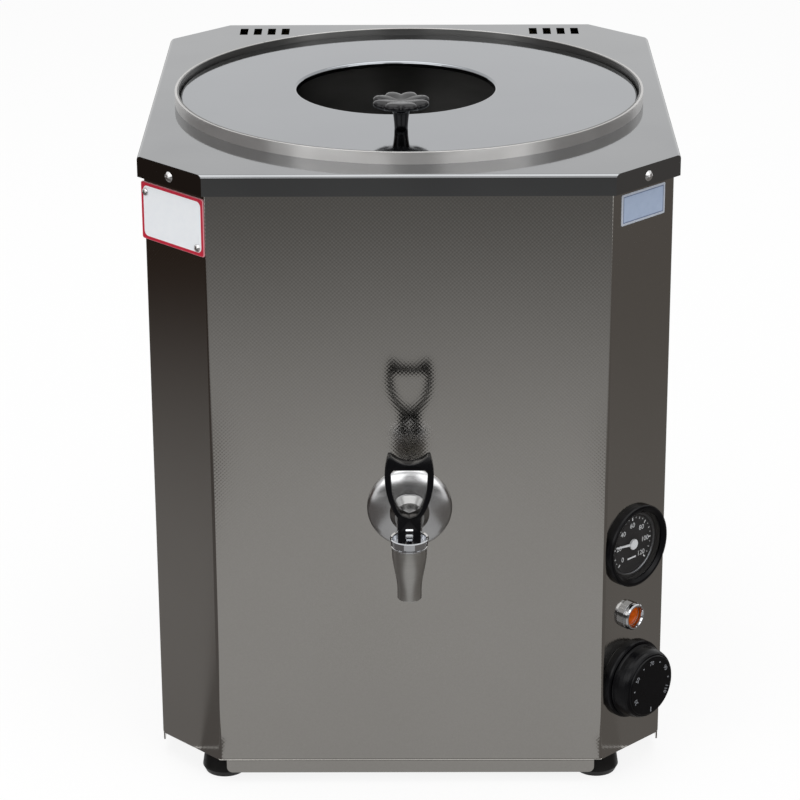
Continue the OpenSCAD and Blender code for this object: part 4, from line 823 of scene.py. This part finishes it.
grey, brown, fawn = (0.15, 0.148, 0.145), (0.04, 0.028, 0.022), (0.16, 0.148, 0.138)
card("front_card", level_sheet((-2, 2), (-6, -0.13), 0.004), near=0.5, far=1.65, dark=grey,
     thin=0.56, half=1.0)
card("rear_card", level_sheet((-2, 2), (0.25, 6), 0.003), near=0.5, far=1.65, dark=grey,
     thin=0.56, half=1.0)
card("front_wall", [(-4, -4, 0), (4, -4, 0), (4, -4, 1.3), (-4, -4, 1.3)], near=0.0, far=0.1,
     dark=(0.10, 0.098, 0.095))
card("left_card", level_sheet((-5, -0.17), (-1.5, 1.5), 0.006), near=0.4, far=1.3, dark=brown,
     thin=0.78, across="Y", half=0.6)
card("right_card", level_sheet((0.17, 5), (-1.5, 1.5), 0.006), near=0.4, far=1.3, dark=fawn,
     thin=0.94, across="Y", half=0.6)
for name, sign, dark, thin in (("left_foot_card", -1, brown, 0.78), ("right_foot_card", 1, fawn, 0.94)):
    outline = [(0.17, -0.24), (0.13, -0.2), (0.13, -0.145), (0.17, -0.1)]
    card(name, [(sign * x, y, 0.005) for x, y in outline], near=8.0, far=9.0, dark=dark, thin=thin)
for name, x, dark in (("left_wall", -3, (0.075, 0.046, 0.036)), ("right_wall", 3, (0.088, 0.07, 0.06))):
    corners = [(x, -1.2, 0), (x, 3, 0), (x, 3, 1.1), (x, -1.2, 1.1)]
    card(name, corners, near=0.0, far=0.1, dark=dark)


def softbox(name, at, look, wide, high, power):
    """A lamp behind an oblong sheet that faces a point."""
    light = bpy.data.lights.new(name, "AREA")
    light.shape = "RECTANGLE"
    light.size = wide
    light.size_y = high
    light.energy = power
    obj = bpy.data.objects.new(name, light)
    scene.collection.objects.link(obj)
    back = np.array(at, float) - np.array(look, float)
    back /= np.linalg.norm(back)
    side = np.cross((0.0, 1.0, 0.0) if abs(back[2]) > 0.9 else (0.0, 0.0, 1.0), back)
    side /= np.linalg.norm(side)
    placed = np.eye(4)
    placed[:3] = np.stack([side, np.cross(back, side), back, at], -1)
    obj.matrix_world = Matrix(placed.tolist())


softbox("top_light", at=(0.0, 0.1, 3.2), look=(0.0, 0.0, 0.2), wide=3.6, high=3.6, power=66.0)
softbox("left_light", at=(-1.5, -2.3, 1.75), look=(0.0, 0.0, 0.3), wide=2.6, high=1.5, power=21.0)
softbox("right_light", at=(1.65, -2.1, 1.7), look=(0.0, 0.0, 0.3), wide=2.3, high=1.5, power=17.0)

world_light, world_seen = 0.4, 0.6
world = bpy.data.worlds.new("studio")
world.use_nodes = True
scene.world = world
tree = world.node_tree
strength = seen_directly(tree) * world_seen + world_light
tree.nodes["Background"].inputs["Color"].default_value = (1.0, 1.0, 1.0, 1.0)
tree.links.new(strength.socket, tree.nodes["Background"].inputs["Strength"])

lens = bpy.data.cameras.new("camera")
lens.sensor_width = 36.0
lens.lens = 138.469
camera = bpy.data.objects.new("camera", lens)
scene.collection.objects.link(camera)
camera.matrix_world = Matrix((
    (0.99998, 0.00226, 0.00502, 0.003979),
    (0.00387, 0.36032, -0.93282, -2.007364),
    (-0.00391, 0.93282, 0.36031, 0.997814),
    (0.0, 0.0, 0.0, 1.0),
))
scene.camera = camera
scene.view_settings.view_transform = "Standard"
